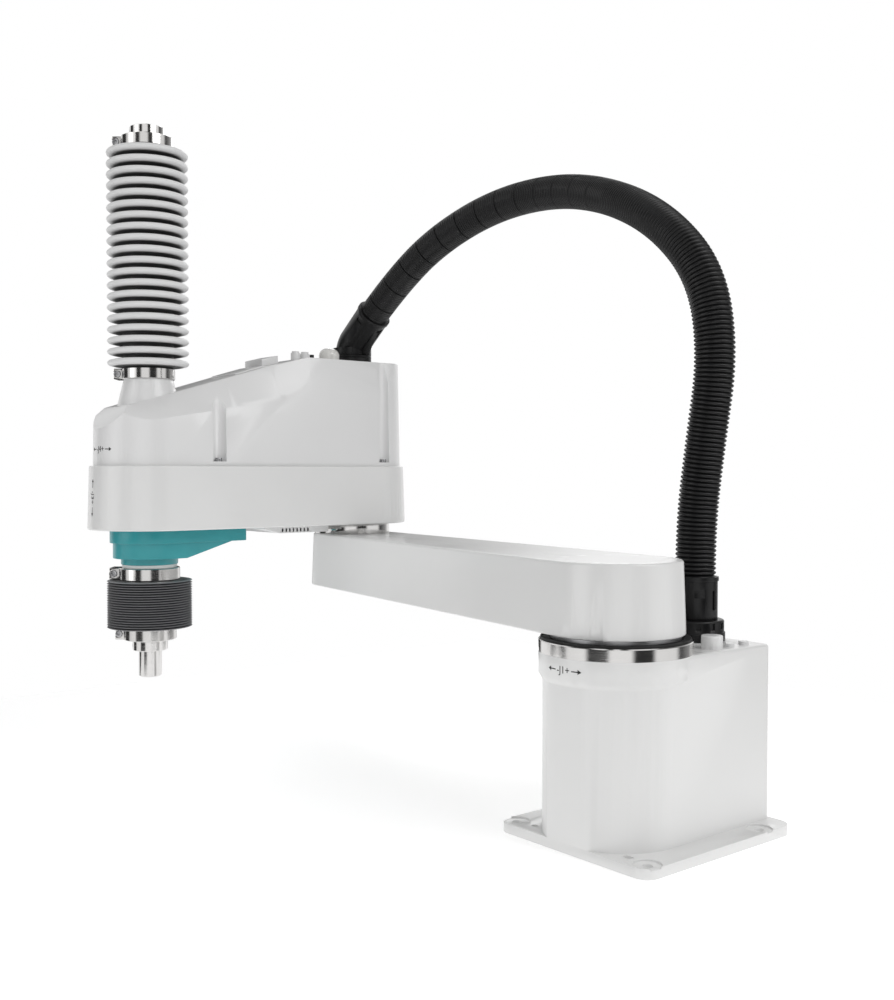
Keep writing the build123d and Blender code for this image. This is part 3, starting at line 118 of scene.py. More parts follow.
def softEdges(piece, width, degrees=40, segments=2):
    bevel = piece.modifiers.new("softEdges", "BEVEL")
    bevel.width = width
    bevel.segments = segments
    bevel.limit_method = "ANGLE"
    bevel.angle_limit = math.radians(degrees)
    bevel.use_clamp_overlap = True
    applyAll(piece)


def cutOut(piece, *cutters):
    for cutter in cutters:
        boolean = piece.modifiers.new("cut", "BOOLEAN")
        boolean.operation = "DIFFERENCE"
        boolean.solver = "EXACT"
        boolean.object = cutter
        applyAll(piece)
        bpy.data.objects.remove(cutter)


def joinPieces(pieces, name):
    makeActive(pieces[0])
    for piece in pieces:
        piece.select_set(True)
    if len(pieces) > 1:
        bpy.ops.object.join()
    piece = bpy.context.object
    piece.name = piece.data.name = name
    return piece


def finishPiece(piece, name, body, material, replaced=()):
    settle(piece)
    piece.name = piece.data.name = name
    piece.data.materials.clear()
    piece.data.materials.append(material)
    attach(piece, body)
    if replaced:
        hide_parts(*replaced)
    return piece


def heading(degrees, length=1.0, z=0.0):
    return Vector((length * math.cos(math.radians(degrees)), length * math.sin(math.radians(degrees)), z))


def turnedRings(name, profile, centre, sides=64, closed=True):
    bpy.ops.mesh.primitive_circle_add(vertices=sides, radius=profile[0][0],
                                      location=(centre[0], centre[1], profile[0][1]))
    piece = bpy.context.object
    piece.name = name
    bpy.ops.object.mode_set(mode="EDIT")
    bpy.ops.mesh.select_all(action="SELECT")
    steps = list(profile) + ([profile[0]] if closed else [])
    for (r0, z0), (r1, z1) in zip(steps, steps[1:]):
        bpy.ops.mesh.extrude_region_move(TRANSFORM_OT_translate={"value": (0, 0, z1 - z0)})
        if abs(r1 - r0) > 1e-7:
            bpy.ops.transform.resize(value=(r1 / r0, r1 / r0, 1), center_override=(centre[0], centre[1], z1))
    bpy.ops.object.mode_set(mode="OBJECT")
    cleanMesh(piece, 0.000002)
    return piece


def addBlock(size, centre, turn=0.0):
    bpy.ops.mesh.primitive_cube_add(size=1, location=centre, rotation=(0, 0, math.radians(turn)))
    piece = bpy.context.object
    piece.scale = size
    settle(piece)
    return piece


def addRod(radius, length, centre, axis, sides=32):
    bpy.ops.mesh.primitive_cylinder_add(vertices=sides, radius=radius, depth=length, location=centre)
    piece = bpy.context.object
    piece.rotation_mode = "QUATERNION"
    piece.rotation_quaternion = Vector(axis).to_track_quat("Z", "Y")
    settle(piece)
    return piece


# materials
def newMaterial(name, color, rough, metal=0.0, coat=0.0, coatRough=0.1, sheen=0.0):
    material = bpy.data.materials.new(name)
    material.use_nodes = True
    shader = material.node_tree.nodes["Principled BSDF"]
    shader.inputs["Base Color"].default_value = (*color, 1)
    shader.inputs["Roughness"].default_value = rough
    shader.inputs["Metallic"].default_value = metal
    shader.inputs["Coat Weight"].default_value = coat
    shader.inputs["Coat Roughness"].default_value = coatRough
    shader.inputs["Sheen Weight"].default_value = sheen
    return material


def patternNode(material, scale, detail=3.0, stretch=(1, 1, 1)):
    tree = material.node_tree
    where = tree.nodes.new("ShaderNodeTexCoord")
    spread = tree.nodes.new("ShaderNodeMapping")
    spread.inputs["Scale"].default_value = stretch
    noise = tree.nodes.new("ShaderNodeTexNoise")
    noise.inputs["Scale"].default_value = scale
    noise.inputs["Detail"].default_value = detail
    tree.links.new(where.outputs["Object"], spread.inputs["Vector"])
    tree.links.new(spread.outputs["Vector"], noise.inputs["Vector"])
    return noise


def addBump(material, source, strength, distance):
    tree = material.node_tree
    shader = tree.nodes["Principled BSDF"]
    bump = tree.nodes.new("ShaderNodeBump")
    bump.inputs["Strength"].default_value = strength
    bump.inputs["Distance"].default_value = distance
    tree.links.new(source, bump.inputs["Height"])
    if shader.inputs["Normal"].is_linked:
        tree.links.new(shader.inputs["Normal"].links[0].from_socket, bump.inputs["Normal"])
    tree.links.new(bump.outputs["Normal"], shader.inputs["Normal"])


def varyRough(material, source, low, high):
    tree = material.node_tree
    ramp = tree.nodes.new("ShaderNodeMapRange")
    ramp.inputs["From Min"].default_value = 0.3
    ramp.inputs["From Max"].default_value = 0.7
    ramp.inputs["To Min"].default_value = low
    ramp.inputs["To Max"].default_value = high
    tree.links.new(source, ramp.inputs["Value"])
    tree.links.new(ramp.outputs["Result"], tree.nodes["Principled BSDF"].inputs["Roughness"])


def varyColor(material, source, first, second):
    tree = material.node_tree
    mix = tree.nodes.new("ShaderNodeMix")
    mix.data_type = "RGBA"
    mix.inputs["A"].default_value = (*first, 1)
    mix.inputs["B"].default_value = (*second, 1)
    spread = tree.nodes.new("ShaderNodeMapRange")
    spread.inputs["From Min"].default_value = 0.35
    spread.inputs["From Max"].default_value = 0.65
    tree.links.new(source, spread.inputs["Value"])
    tree.links.new(spread.outputs["Result"], mix.inputs["Factor"])
    tree.links.new(mix.outputs["Result"], tree.nodes["Principled BSDF"].inputs["Base Color"])


def castPaint():
    material = newMaterial("whiteCastPaint", (0.79, 0.79, 0.785), 0.34, coat=0.35, coatRough=0.14)
    varyRough(material, patternNode(material, 14).outputs["Fac"], 0.30, 0.40)
    varyColor(material, patternNode(material, 6).outputs["Fac"], (0.78, 0.78, 0.775), (0.80, 0.80, 0.795))
    addBump(material, patternNode(material, 700, 2).outputs["Fac"], 0.10, 0.0002)
    return material


def coverPlastic():
    material = newMaterial("whiteCoverPlastic", (0.80, 0.80, 0.80), 0.30, coat=0.25, coatRough=0.10)
    varyRough(material, patternNode(material, 9).outputs["Fac"], 0.27, 0.34)
    addBump(material, patternNode(material, 1600, 1).outputs["Fac"], 0.05, 0.0001)
    return material


def tealPlastic():
    material = newMaterial("tealPlastic", (0.022, 0.30, 0.33), 0.36, coat=0.15, coatRough=0.2)
    varyColor(material, patternNode(material, 30).outputs["Fac"], (0.020, 0.285, 0.315), (0.025, 0.315, 0.345))
    addBump(material, patternNode(material, 1400, 1).outputs["Fac"], 0.07, 0.0001)
    return material


def turnedSteel(name="turnedSteel", color=(0.70, 0.69, 0.68), rough=0.11):
    material = newMaterial(name, color, rough, metal=1.0)
    rings = patternNode(material, 3000, 2, (0.02, 0.02, 1))
    addBump(material, rings.outputs["Fac"], 0.12, 0.00008)
    wear = patternNode(material, 1800, 2, (0.02, 0.02, 1))
    varyRough(material, wear.outputs["Fac"], rough * 0.75, rough * 1.35)
    return material


def blackMould(name="blackMould", rough=0.34, color=(0.005, 0.005, 0.0055)):
    material = newMaterial(name, color, rough)
    material.node_tree.nodes["Principled BSDF"].inputs["Specular IOR Level"].default_value = 0.32
    varyRough(material, patternNode(material, 60).outputs["Fac"], rough - 0.06, rough + 0.08)
    addBump(material, patternNode(material, 1500, 2).outputs["Fac"], 0.15, 0.0001)
    return material


# fold rubber with painted shade: the colour runs from near black at the fold roots to the rubber's own colour at the
# lips, standing in for the shade in the gaps between the folds
def bellowsRubberPaintedShade(name, color, root, shadeFadeFrom, shadeFadeTo):
    material = newMaterial(name, color, 0.5, sheen=0.1)
    tree = material.node_tree
    where = tree.nodes.new("ShaderNodeTexCoord")
    fromAxis = tree.nodes.new("ShaderNodeVectorMath")
    fromAxis.operation = "SUBTRACT"
    fromAxis.inputs[1].default_value = (j3.x, j3.y, 0)
    flat = tree.nodes.new("ShaderNodeVectorMath")
    flat.operation = "MULTIPLY"
    flat.inputs[1].default_value = (1, 1, 0)
    radius = tree.nodes.new("ShaderNodeVectorMath")
    radius.operation = "LENGTH"
    share = tree.nodes.new("ShaderNodeMapRange")
    share.interpolation_type = "SMOOTHSTEP"
    share.inputs["From Min"].default_value = shadeFadeFrom
    share.inputs["From Max"].default_value = shadeFadeTo
    mix = tree.nodes.new("ShaderNodeMix")
    mix.data_type = "RGBA"
    # A is the painted shade colour at the fold roots, B the rubber's own colour at the lips
    mix.inputs["A"].default_value = (*root, 1)
    mix.inputs["B"].default_value = (*color, 1)
    tree.links.new(where.outputs["Object"], fromAxis.inputs[0])
    tree.links.new(fromAxis.outputs["Vector"], flat.inputs[0])
    tree.links.new(flat.outputs["Vector"], radius.inputs[0])
    tree.links.new(radius.outputs["Value"], share.inputs["Value"])
    tree.links.new(share.outputs["Result"], mix.inputs["Factor"])
    tree.links.new(mix.outputs["Result"], tree.nodes["Principled BSDF"].inputs["Base Color"])
    addBump(material, patternNode(material, 2600, 2).outputs["Fac"], 0.20, 0.00012)
    return material


def milkyLens():
    material = newMaterial("milkyLens", (0.80, 0.79, 0.76), 0.15, coat=0.6, coatRough=0.05)
    addBump(material, patternNode(material, 900, 1).outputs["Fac"], 0.04, 0.0001)
    return material


def machinedAluminium():
    material = newMaterial("machinedAluminium", (0.72, 0.72, 0.74), 0.3, metal=1.0)
    addBump(material, patternNode(material, 1200, 3, (1, 0.05, 1)).outputs["Fac"], 0.1, 0.0001)
    return material


finish = {
    "white_paint": castPaint(),
    "white_plastic": coverPlastic(),
    "teal_plastic": tealPlastic(),
    "white_rubber": newMaterial("whiteSealRubber", (0.72, 0.72, 0.71), 0.5),
    # the dark second colours are painted shade in the gaps between the folds, which fades into the rubber colour
    # between the two radii given
    "white_bellows": bellowsRubberPaintedShade("whiteBellows", (0.80, 0.80, 0.80), (0.03, 0.03, 0.03),
                                   0.0345, 0.0405),
    "grey_bellows": bellowsRubberPaintedShade("greyBellows", (0.21, 0.21, 0.22), (0.008, 0.008, 0.008),
                                  0.0385, 0.0462),
    "black_rubber": blackMould("blackRubber", 0.5, (0.008, 0.008, 0.008)),
    "black_plastic": blackMould(),
    "lamp_lens": milkyLens(),
    "polished_steel": turnedSteel(),
    "clamp_steel": turnedSteel("clampSteel", (0.64, 0.63, 0.62), 0.13),
    "screw_steel": turnedSteel("screwSteel", (0.42, 0.42, 0.43), 0.25),
    "drive_steel": turnedSteel("driveSteel", (0.42, 0.42, 0.43), 0.35),
    "bracket_aluminium": machinedAluminium(),
    "motor_body": blackMould("motorPaint", 0.45, (0.03, 0.03, 0.033)),
}
hoseMaterial = blackMould("hosePlastic", 0.36, (0.006, 0.006, 0.0065))
markInk = newMaterial("markInk", (0.012, 0.012, 0.012), 0.55)
addBump(markInk, patternNode(markInk, 2000, 1).outputs["Fac"], 0.1, 0.00005)
print("materials ready")


# CAD nodes that keep their shape, and the one that the photograph shows pale
paleInstead = {"user_connector": "white_plastic"}


def dressNode(node, edge=0.0, angle=35, limit=40):
    skin = nodes[node].copy()
    skin.data = nodes[node].data.copy()
    for key in list(skin.keys()):
        del skin[key]
    bpy.context.scene.collection.objects.link(skin)
    skin.parent = None
    skin.matrix_world = Matrix.Identity(4)
    makeActive(skin)
    bpy.ops.object.mode_set(mode="EDIT")
    bpy.ops.mesh.select_all(action="SELECT")
    bpy.ops.mesh.remove_doubles(threshold=0.000005)
    bpy.ops.mesh.dissolve_limited(angle_limit=math.radians(0.6))
    bpy.ops.object.mode_set(mode="OBJECT")
    if edge:
        softEdges(skin, edge, limit)
    smoothByAngle(skin, angle)
    words = node.split("_")
    name = words[0] + "".join(word.capitalize() for word in words[1:]) + "Skin"
    body = nodes[node]["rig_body"]
    slot = paleInstead.get(node, slotOf[node])
    return finishPiece(skin, name, body, finish[slot], [node])


dressed = {
    "base_casting": 0.0012, "rear_panel": 0.0004, "rear_connectors": 0.0004, "blanking_cap": 0.0,
    "inner_arm": 0.0, "forearm_frame": 0.0, "forearm_cover": 0.0012, "lower_cover": 0.0006,
    "underside_vent": 0.0003, "roof_hatch": 0.0004, "user_connector": 0.0008,
    "j1_dust_seal": 0.0005, "j2_bearing_ring": 0.0005, "j2_ring_screws": 0.0,
    "base_plugs": 0.0, "arm_screw_plugs": 0.0002, "cover_screws": 0.0002, "rear_panel_screws": 0.0002,
    "status_lamp": 0.0, "air_fittings": 0.0004, "brake_release_button": 0.0004, "lower_cover_seal": 0.0004,
    "conduit_nut": 0.0006, "conduit_cuff": 0.0004, "conduit_foot": 0.0008, "conduit_elbow": 0.0006,
}
skins = {}
for node in nodes:
    if node in dressed:
        skins[node] = dressNode(node, dressed[node])
    else:
        nodes[node].data.materials.clear()
        nodes[node].data.materials.append(finish[slotOf[node]])

# J1 ring, with more sides than the CAD mesh so that its bands of light run smooth
j1RingSize = {"bore": 0.0582, "outer": 0.0679, "low": 0.1690, "high": 0.1800, "edge": 0.0008}
j1Ring = turnedRings("j1BearingRing", [
    (j1RingSize["bore"], j1RingSize["low"]), (j1RingSize["outer"], j1RingSize["low"]),
    (j1RingSize["outer"], j1RingSize["high"] - j1RingSize["edge"]),
    (j1RingSize["outer"] - j1RingSize["edge"], j1RingSize["high"]), (j1RingSize["bore"], j1RingSize["high"])],
    Vector((0, 0, 0)), 128)
smoothByAngle(j1Ring, 30)
finishPiece(j1Ring, "j1BearingRing", "base", finish[slotOf["j1_bearing_ring"]],
            ["j1_bearing_ring"])
print("CAD nodes dressed")


# bellows
upperBellows = {"foldCount": 20, "tip": 0.0443, "root": 0.0274, "low": 0.4407, "high": 0.6833,
                "cuffLow": 0.0240, "cuffHigh": 0.0240}
lowerBellows = {"foldCount": 20, "tip": 0.0463, "root": 0.0300, "low": 0.1531, "high": 0.2068,
                "cuffLow": 0.0235, "cuffHigh": 0.0280}
sleeve = {"cuffWall": 0.0012, "wall": 0.001, "innerShare": 0.6}


def foldedProfile(size, soft):
    pitch = (size["high"] - size["low"]) / size["foldCount"]
    points = [(size["cuffLow"] - sleeve["cuffWall"], size["low"]), (size["cuffLow"], size["low"])]
    for i in range(size["foldCount"]):
        z = size["low"] + pitch * i
        for share, reach in soft:
            points.append((size["root"] + (size["tip"] - size["root"]) * reach, z + pitch * share))
    points += [(size["cuffHigh"], size["high"]), (size["cuffHigh"] - sleeve["cuffWall"], size["high"])]
    inner = size["root"] - sleeve["wall"]
    step = pitch * sleeve["innerShare"]
    points += [(inner, size["high"] - step), (inner, size["low"] + step)]
    return points


# each fold is a rounded lip with a steep root
upperFold = [(0.13, 0.0), (0.16, 0.35), (0.20, 0.65), (0.28, 0.88), (0.39, 0.97), (0.50, 1.0),
             (0.61, 0.97), (0.72, 0.88), (0.80, 0.65), (0.84, 0.35), (0.87, 0.0)]
upperSleeve = turnedRings("upperBellowsFolds", foldedProfile(upperBellows, upperFold), j3, 72)
smoothByAngle(upperSleeve, 60)
finishPiece(upperSleeve, "upperBellowsFolds", "forearm", finish["white_bellows"],
            ["upper_bellows"])
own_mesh(upperSleeve)

lowerFold = [(0.06, 0.0), (0.30, 0.93), (0.50, 1.0), (0.70, 0.93), (0.94, 0.0)]
lowerSleeve = turnedRings("lowerBellowsFolds", foldedProfile(lowerBellows, lowerFold), j3, 72)
smoothByAngle(lowerSleeve, 50)
settle(lowerSleeve)
lowerSleeve.data.materials.append(finish["grey_bellows"])
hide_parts("lower_bellows")
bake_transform(lowerSleeve)
print("bellows made")


# clamps
clamps = {
    "baseClampRing": {"low": 0.4287, "high": 0.4407, "bore": 0.0240, "outer": 0.0287, "reach": 0.0365,
                      "body": "forearm", "node": "bellows_base_clamp"},
    "spoutClampRing": {"low": 0.2068, "high": 0.2201, "bore": 0.0280, "outer": 0.0330, "reach": 0.0430,
                       "body": "forearm", "node": "lower_bellows_top_clamp"},
    "topClampRing": {"low": 0.6835, "high": 0.6955, "bore": 0.0240, "outer": 0.0287, "reach": 0.0365,
                     "body": "carriage", "node": "upper_bellows_clamp"},
    "endClampRing": {"low": 0.1398, "high": 0.1531, "bore": 0.0235, "outer": 0.0287, "reach": 0.0365,
                     "body": "carriage", "node": "lower_bellows_clamp"},
}
clampShape = {"heading": -39.5, "earWidth": 0.0200, "slit": 0.0016, "edge": 0.0007, "earEdge": 0.0009,
              "seatRadius": 0.0046, "seatDepth": 0.0040, "headRadius": 0.0038, "headHeight": 0.0038,
              "socket": 0.0021, "shank": 0.013, "shankRadius": 0.002}


def capScrew(radius, height, socket, centre, axis, shank, shankRadius):
    axis = Vector(axis).normalized()
    head = addRod(radius, height, Vector(centre) + axis * height / 2, axis, 40)
    hexHole = addRod(socket, height * 0.65, Vector(centre) + axis * (height * 0.68), axis, 6)
    softEdges(head, radius * 0.09, 50)
    cutOut(head, hexHole)
    stem = addRod(shankRadius, shank, Vector(centre) - axis * shank / 2, axis, 24)
    screw = joinPieces([head, stem], "screw")
    smoothByAngle(screw, 35)
    return screw


def splitClamp(name, size):
    shape = clampShape
    height = size["high"] - size["low"]
    middle = (size["high"] + size["low"]) / 2
    along = heading(shape["heading"])
    across = heading(shape["heading"] + 90)
    edge = shape["edge"]
    ring = turnedRings(name, [
        (size["bore"], size["low"]), (size["outer"] - edge, size["low"]), (size["outer"], size["low"] + edge),
        (size["outer"], size["high"] - edge), (size["outer"] - edge, size["high"]), (size["bore"], size["high"])],
        j3, 96)
    inside = size["bore"] + 0.001
    earCentre = Vector((j3.x, j3.y, middle)) + along * (size["reach"] + inside) / 2
    ear = addBlock((size["reach"] - inside, shape["earWidth"], height - 0.0002), earCentre, shape["heading"])
    softEdges(ear, shape["earEdge"])
    union = ring.modifiers.new("ear", "BOOLEAN")
    union.operation = "UNION"
    union.solver = "EXACT"
    union.object = ear
    applyAll(ring)
    bpy.data.objects.remove(ear)
    screwAt = Vector((j3.x, j3.y, middle)) + along * (size["outer"] + size["reach"]) / 2
    seatAt = screwAt + across * (shape["earWidth"] / 2 - shape["seatDepth"])
    seat = addRod(shape["seatRadius"], 0.03, seatAt + across * 0.015, across, 40)
    slit = addBlock((0.04, shape["slit"], height + 0.01),
                    Vector((j3.x, j3.y, middle)) + along * (size["bore"] + 0.019), shape["heading"])
    cutOut(ring, seat, slit)
    smoothByAngle(ring, 30)
    finishPiece(ring, name, size["body"], finish["clamp_steel"], [size["node"]])
    return capScrew(shape["headRadius"], shape["headHeight"], shape["socket"], seatAt, across,
                    shape["shank"], shape["shankRadius"])


screwsOf = {"forearm": [], "carriage": []}
for name, size in clamps.items():
    screwsOf[size["body"]].append(splitClamp(name, size))
for body, screws in screwsOf.items():
    screwPair = joinPieces(screws, body + "ClampScrews")
    finishPiece(screwPair, body + "ClampScrews", body, finish["screw_steel"],
                [body + "_clamp_screws"])

# cuffs of the bellows show as thin lips beside the clamps: inner radius, foot and head radius, heights
cuffs = {
    "upperBellowsFootCuff": (0.0226, 0.0239, 0.0243, 0.4280, 0.4409, "forearm", "white_bellows"),
    "upperBellowsHeadCuff": (0.0226, 0.0243, 0.0239, 0.6831, 0.6960, "carriage", "white_bellows"),
    "lowerBellowsHeadCuff": (0.0266, 0.0283, 0.0279, 0.2066, 0.2201, "forearm", "grey_bellows"),
    "lowerBellowsFootCuff": (0.0221, 0.0234, 0.0238, 0.1396, 0.1533, "carriage", "grey_bellows"),
}
for name, (inner, foot, head, low, high, body, slot) in cuffs.items():
    cuff = turnedRings(name, [(inner, low), (foot, low), (head, high), (inner, high)], j3, 64)
    smoothByAngle(cuff, 40)
    finishPiece(cuff, name, body, finish[slot])
print("clamps made")


# shaft and collars
shaft = {"radius": 0.0125, "low": 0.0984, "high": 0.7068, "chamfer": 0.0012, "bore": 0.0060, "boreDepth": 0.012,
         "topBore": 0.0062, "topDepth": 0.0168, "neck": 0.0122, "neckLow": 0.1268, "neckHigh": 0.1278}
collars = {"topCollarRing": (0.6966, 0.7068, "top_collar"), "stopCollarRing": (0.1278, 0.1390, "stop_collar")}
collarShape = {"bore": 0.01253, "outer": 0.0191, "edge": 0.0007, "screwHole": 0.0022, "screwHeading": -20}
tipRadius = shaft["radius"] - shaft["chamfer"]
shaftRod = turnedRings("toolShaft", [
    (shaft["bore"], shaft["low"] + shaft["boreDepth"]), (shaft["bore"], shaft["low"] + 0.0003),
    (tipRadius, shaft["low"]), (shaft["radius"], shaft["low"] + shaft["chamfer"]),
    (shaft["radius"], shaft["neckLow"]), (shaft["neck"], shaft["neckLow"] + 0.0001),
    (shaft["neck"], shaft["neckHigh"] - 0.0001), (shaft["radius"], shaft["neckHigh"]),
    (shaft["radius"], shaft["high"] - shaft["chamfer"]), (tipRadius, shaft["high"]),
    (shaft["topBore"], shaft["high"]), (shaft["topBore"], shaft["high"] - shaft["topDepth"])],
    j3, 64, closed=False)
makeActive(shaftRod)
bpy.ops.object.mode_set(mode="EDIT")
bpy.ops.mesh.select_all(action="SELECT")
bpy.ops.mesh.select_non_manifold()
bpy.ops.mesh.edge_face_add()
bpy.ops.object.mode_set(mode="OBJECT")
cleanMesh(shaftRod)
flatCut = addBlock((0.02, 0.03, 0.009), Vector((j3.x, j3.y, 0.1135)) + heading(-39.5, 0.0120 + 0.01), -39.5)
cutOut(shaftRod, flatCut)
smoothByAngle(shaftRod, 30)
finishPiece(shaftRod, "toolShaft", "shaft", finish["polished_steel"], ["screw_spline_shaft"])
for name, (low, high, node) in collars.items():
    shape = collarShape
    outer, edge = shape["outer"], shape["edge"]
    ring = turnedRings(name, [(shape["bore"], low), (outer - edge, low), (outer, low + edge), (outer, high - edge),
                              (outer - edge, high), (shape["bore"], high)], j3, 80)
    outward = heading(shape["screwHeading"])
    hole = addRod(shape["screwHole"], 0.012, Vector((j3.x, j3.y, (low + high) / 2)) + outward * 0.019, outward, 24)
    cutOut(ring, hole)
    smoothByAngle(ring, 30)
    finishPiece(ring, name, "shaft", finish["polished_steel"], [node])
print("shaft made")


# latch windows round the elbow's mouth, and grooves round its foot
mouthAlong, mouthHeight, mouthLean = 0.045, 0.5215, 50.0
socketAt = Vector((-0.1105, 0.0, 0.228))
hoseWay = Vector((socketAt.x - j2.x, -j2.y, 0)).normalized()
mouth = Vector((j2.x, j2.y, mouthHeight)) + hoseWay * mouthAlong
leave = hoseWay * math.sin(math.radians(mouthLean)) + Vector((0, 0, math.cos(math.radians(mouthLean))))
latches = {"radius": 0.0204, "count": 4, "first": -25.0, "back": 0.0105, "long": 0.0045, "wide": 0.0095,
           "deep": 0.0016}
towardsCamera = Vector((0.58, 0.81, 0))
facing = (towardsCamera - leave * towardsCamera.dot(leave)).normalized()
for i in range(latches["count"]):
    outward = Matrix.Rotation(math.radians(latches["first"] + 360 / latches["count"] * i), 3, leave) @ facing
    window = addBlock((latches["long"], latches["wide"], 0.01), (0, 0, 0))
    window.matrix_world = Matrix.Translation(
        mouth - leave * latches["back"] + outward * (latches["radius"] - latches["deep"] + 0.005)
    ) @ Matrix((leave, outward.cross(leave), outward)).transposed().to_4x4()
    settle(window)
    cutOut(skins["conduit_elbow"], window)
smoothByAngle(skins["conduit_elbow"], 35)
footGroove = {"floor": 0.0238, "outside": 0.0262, "width": 0.0009}
for low in (0.4640, 0.4680):
    high = low + footGroove["width"]
    groove = turnedRings("groove", [(footGroove["floor"], low), (footGroove["outside"], low),
                                    (footGroove["outside"], high), (footGroove["floor"], high)], j2, 64)
    cutOut(skins["conduit_foot"], groove)
smoothByAngle(skins["conduit_foot"], 35)

# lip, key ribs and slots of the cuff and nut on the base
lip = turnedRings("cuffLip", [(0.0192, 0.2245), (0.0214, 0.2245), (0.0217, 0.2262), (0.0214, 0.2285),
                              (0.0192, 0.2285)], socketAt, 64)
ribs = [addBlock((0.0022, 0.0030, 0.018), socketAt + heading(turn, 0.0210, -0.021), turn)
        for turn in (5, 95, 185, 275)]
for rib in ribs:
    softEdges(rib, 0.0005)
smoothByAngle(lip, 35)
finishPiece(joinPieces([lip] + ribs, "cuffLip"), "cuffLip", "base", finish["black_plastic"])
for turn in range(15, 360, 30):
    slot = addBlock((0.004, 0.0050, 0.006), socketAt + heading(turn, 0.0272, -0.0445), turn)
    cutOut(skins["conduit_nut"], slot)
smoothByAngle(skins["conduit_nut"], 35)

# hose: control points of its centre line, from the socket up and over to the elbow
hoseRoute = [
    (-0.1105, -0.0000, 0.2280), (-0.1105, -0.0000, 0.2780), (-0.1111, 0.0102, 0.3528),
    (-0.1119, 0.0232, 0.4355), (-0.1111, 0.0107, 0.5102), (-0.1105, -0.0411, 0.5681),
    (-0.1207, -0.1215, 0.6096), (-0.1308, -0.2131, 0.6321), (-0.1210, -0.3013, 0.6279),
    (-0.1004, -0.3766, 0.5971), (-0.0868, -0.4345, 0.5549), (-0.0821, -0.4741, 0.5215),
]
hose = {"slim": 0.0181, "wide": 0.0190, "sides": 40, "tightPitch": 0.0027, "openPitch": 0.0042, "tightGroove": 0.0007,
        "openGroove": 0.0022, "seamGroove": 0.0018, "seamEvery": 11, "openTo": 0.30, "tightFrom": 0.44}


def splinePoints(points, resolution=64):
    curve = bpy.data.curves.new("hoseRoute", "CURVE")
    curve.dimensions = "3D"
    curve.resolution_u = resolution
    spline = curve.splines.new("NURBS")
    spline.points.add(len(points) - 1)
    for point, place in zip(spline.points, points):
        point.co = (*place, 1)
    spline.order_u = 3
    spline.use_endpoint_u = True
    holder = bpy.data.objects.new("hoseRoute", curve)
    bpy.context.scene.collection.objects.link(holder)
    bpy.context.view_layer.update()
    mesh = bpy.data.meshes.new_from_object(holder)
    places = [v.co.copy() for v in mesh.vertices]
    bpy.data.objects.remove(holder)
    bpy.data.meshes.remove(mesh)
    return places


def placesAt(places, distances):
    out, walked, i = [], 0.0, 0
    for goal in distances:
        while i < len(places) - 2 and walked + (places[i + 1] - places[i]).length < goal:
            walked += (places[i + 1] - places[i]).length
            i += 1
        share = (goal - walked) / (places[i + 1] - places[i]).length
        out.append(places[i].lerp(places[i + 1], min(max(share, 0), 1)))
    return out


def mixed(low, high, share):
    return low + (high - low) * share


# stations of the rings: open ribs low down, tight ones with seams over the arc
centreLine = splinePoints(hoseRoute)
hoseLength = sum((b - a).length for a, b in zip(centreLine, centreLine[1:]))
ribShape = [(0.0, 0.0), (0.25, 0.28), (0.5, 1.0), (0.75, 0.28)]
stations, radii = [], []
walked, ribNumber = 0.0, 0
while walked < hoseLength - hose["tightPitch"]:
    share = min(max((walked - hose["openTo"]) / (hose["tightFrom"] - hose["openTo"]), 0), 1)
    pitch = mixed(hose["openPitch"], hose["tightPitch"], share)
    ridge = mixed(hose["wide"], hose["slim"], share)
    groove = mixed(hose["openGroove"], hose["tightGroove"], share)
    if share == 1 and ribNumber % hose["seamEvery"] == 0:
        groove = hose["seamGroove"]
    for step, depth in ribShape:
        stations.append(walked + pitch * step)
        radii.append(ridge - groove * depth)
    walked += pitch
    ribNumber += 1
stations.append(hoseLength)
radii.append(hose["slim"])
ringPlaces = placesAt(centreLine, stations)
side = hoseWay.cross(Vector((0, 0, 1)))
hoseMesh = bpy.data.meshes.new("conduitHose")
hoseVerts, hoseFaces = [], []
sides = hose["sides"]
for i, (place, radius) in enumerate(zip(ringPlaces, radii)):
    way = (ringPlaces[min(i + 1, len(ringPlaces) - 1)] - ringPlaces[max(i - 1, 0)]).normalized()
    up = side.cross(way).normalized()
    across = way.cross(up)
    for k in range(sides):
        turn = 2 * math.pi * k / sides
        hoseVerts.append(place + (across * math.cos(turn) + up * math.sin(turn)) * radius)
for i in range(len(ringPlaces) - 1):
    for k in range(sides):
        a, b = i * sides + k, i * sides + (k + 1) % sides
        hoseFaces.append((a, b, b + sides, a + sides))
hoseFaces.append(tuple(reversed(range(sides))))
hoseFaces.append(tuple(range((len(ringPlaces) - 1) * sides, len(ringPlaces) * sides)))
hoseMesh.from_pydata(hoseVerts, [], hoseFaces)
conduitHose = bpy.data.objects.new("conduitHose", hoseMesh)
bpy.context.scene.collection.objects.link(conduitHose)
cleanMesh(conduitHose)
smoothByAngle(conduitHose, 75)
conduitHose.data.materials.append(hoseMaterial)
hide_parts("conduit_hose")
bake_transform(conduitHose)
print("hose made", round(hoseLength, 4), "m")


# axis marks: an arrow at each end of a plain axis letter and number, laid on the surface behind
# rows: text, node behind, body, axis, heading, height, length, upright
marks = [("-J1+", "base_casting", "base", (0, 0), 2.0, 0.1590, 0.036, False),
         ("-J4+", "forearm_cover", "forearm", (j3.x, j3.y), 6.0, 0.3510, 0.036, False),
         ("-J3+", "forearm_frame", "forearm", (j3.x, j3.y), -1.0, 0.2985, 0.039, True)]


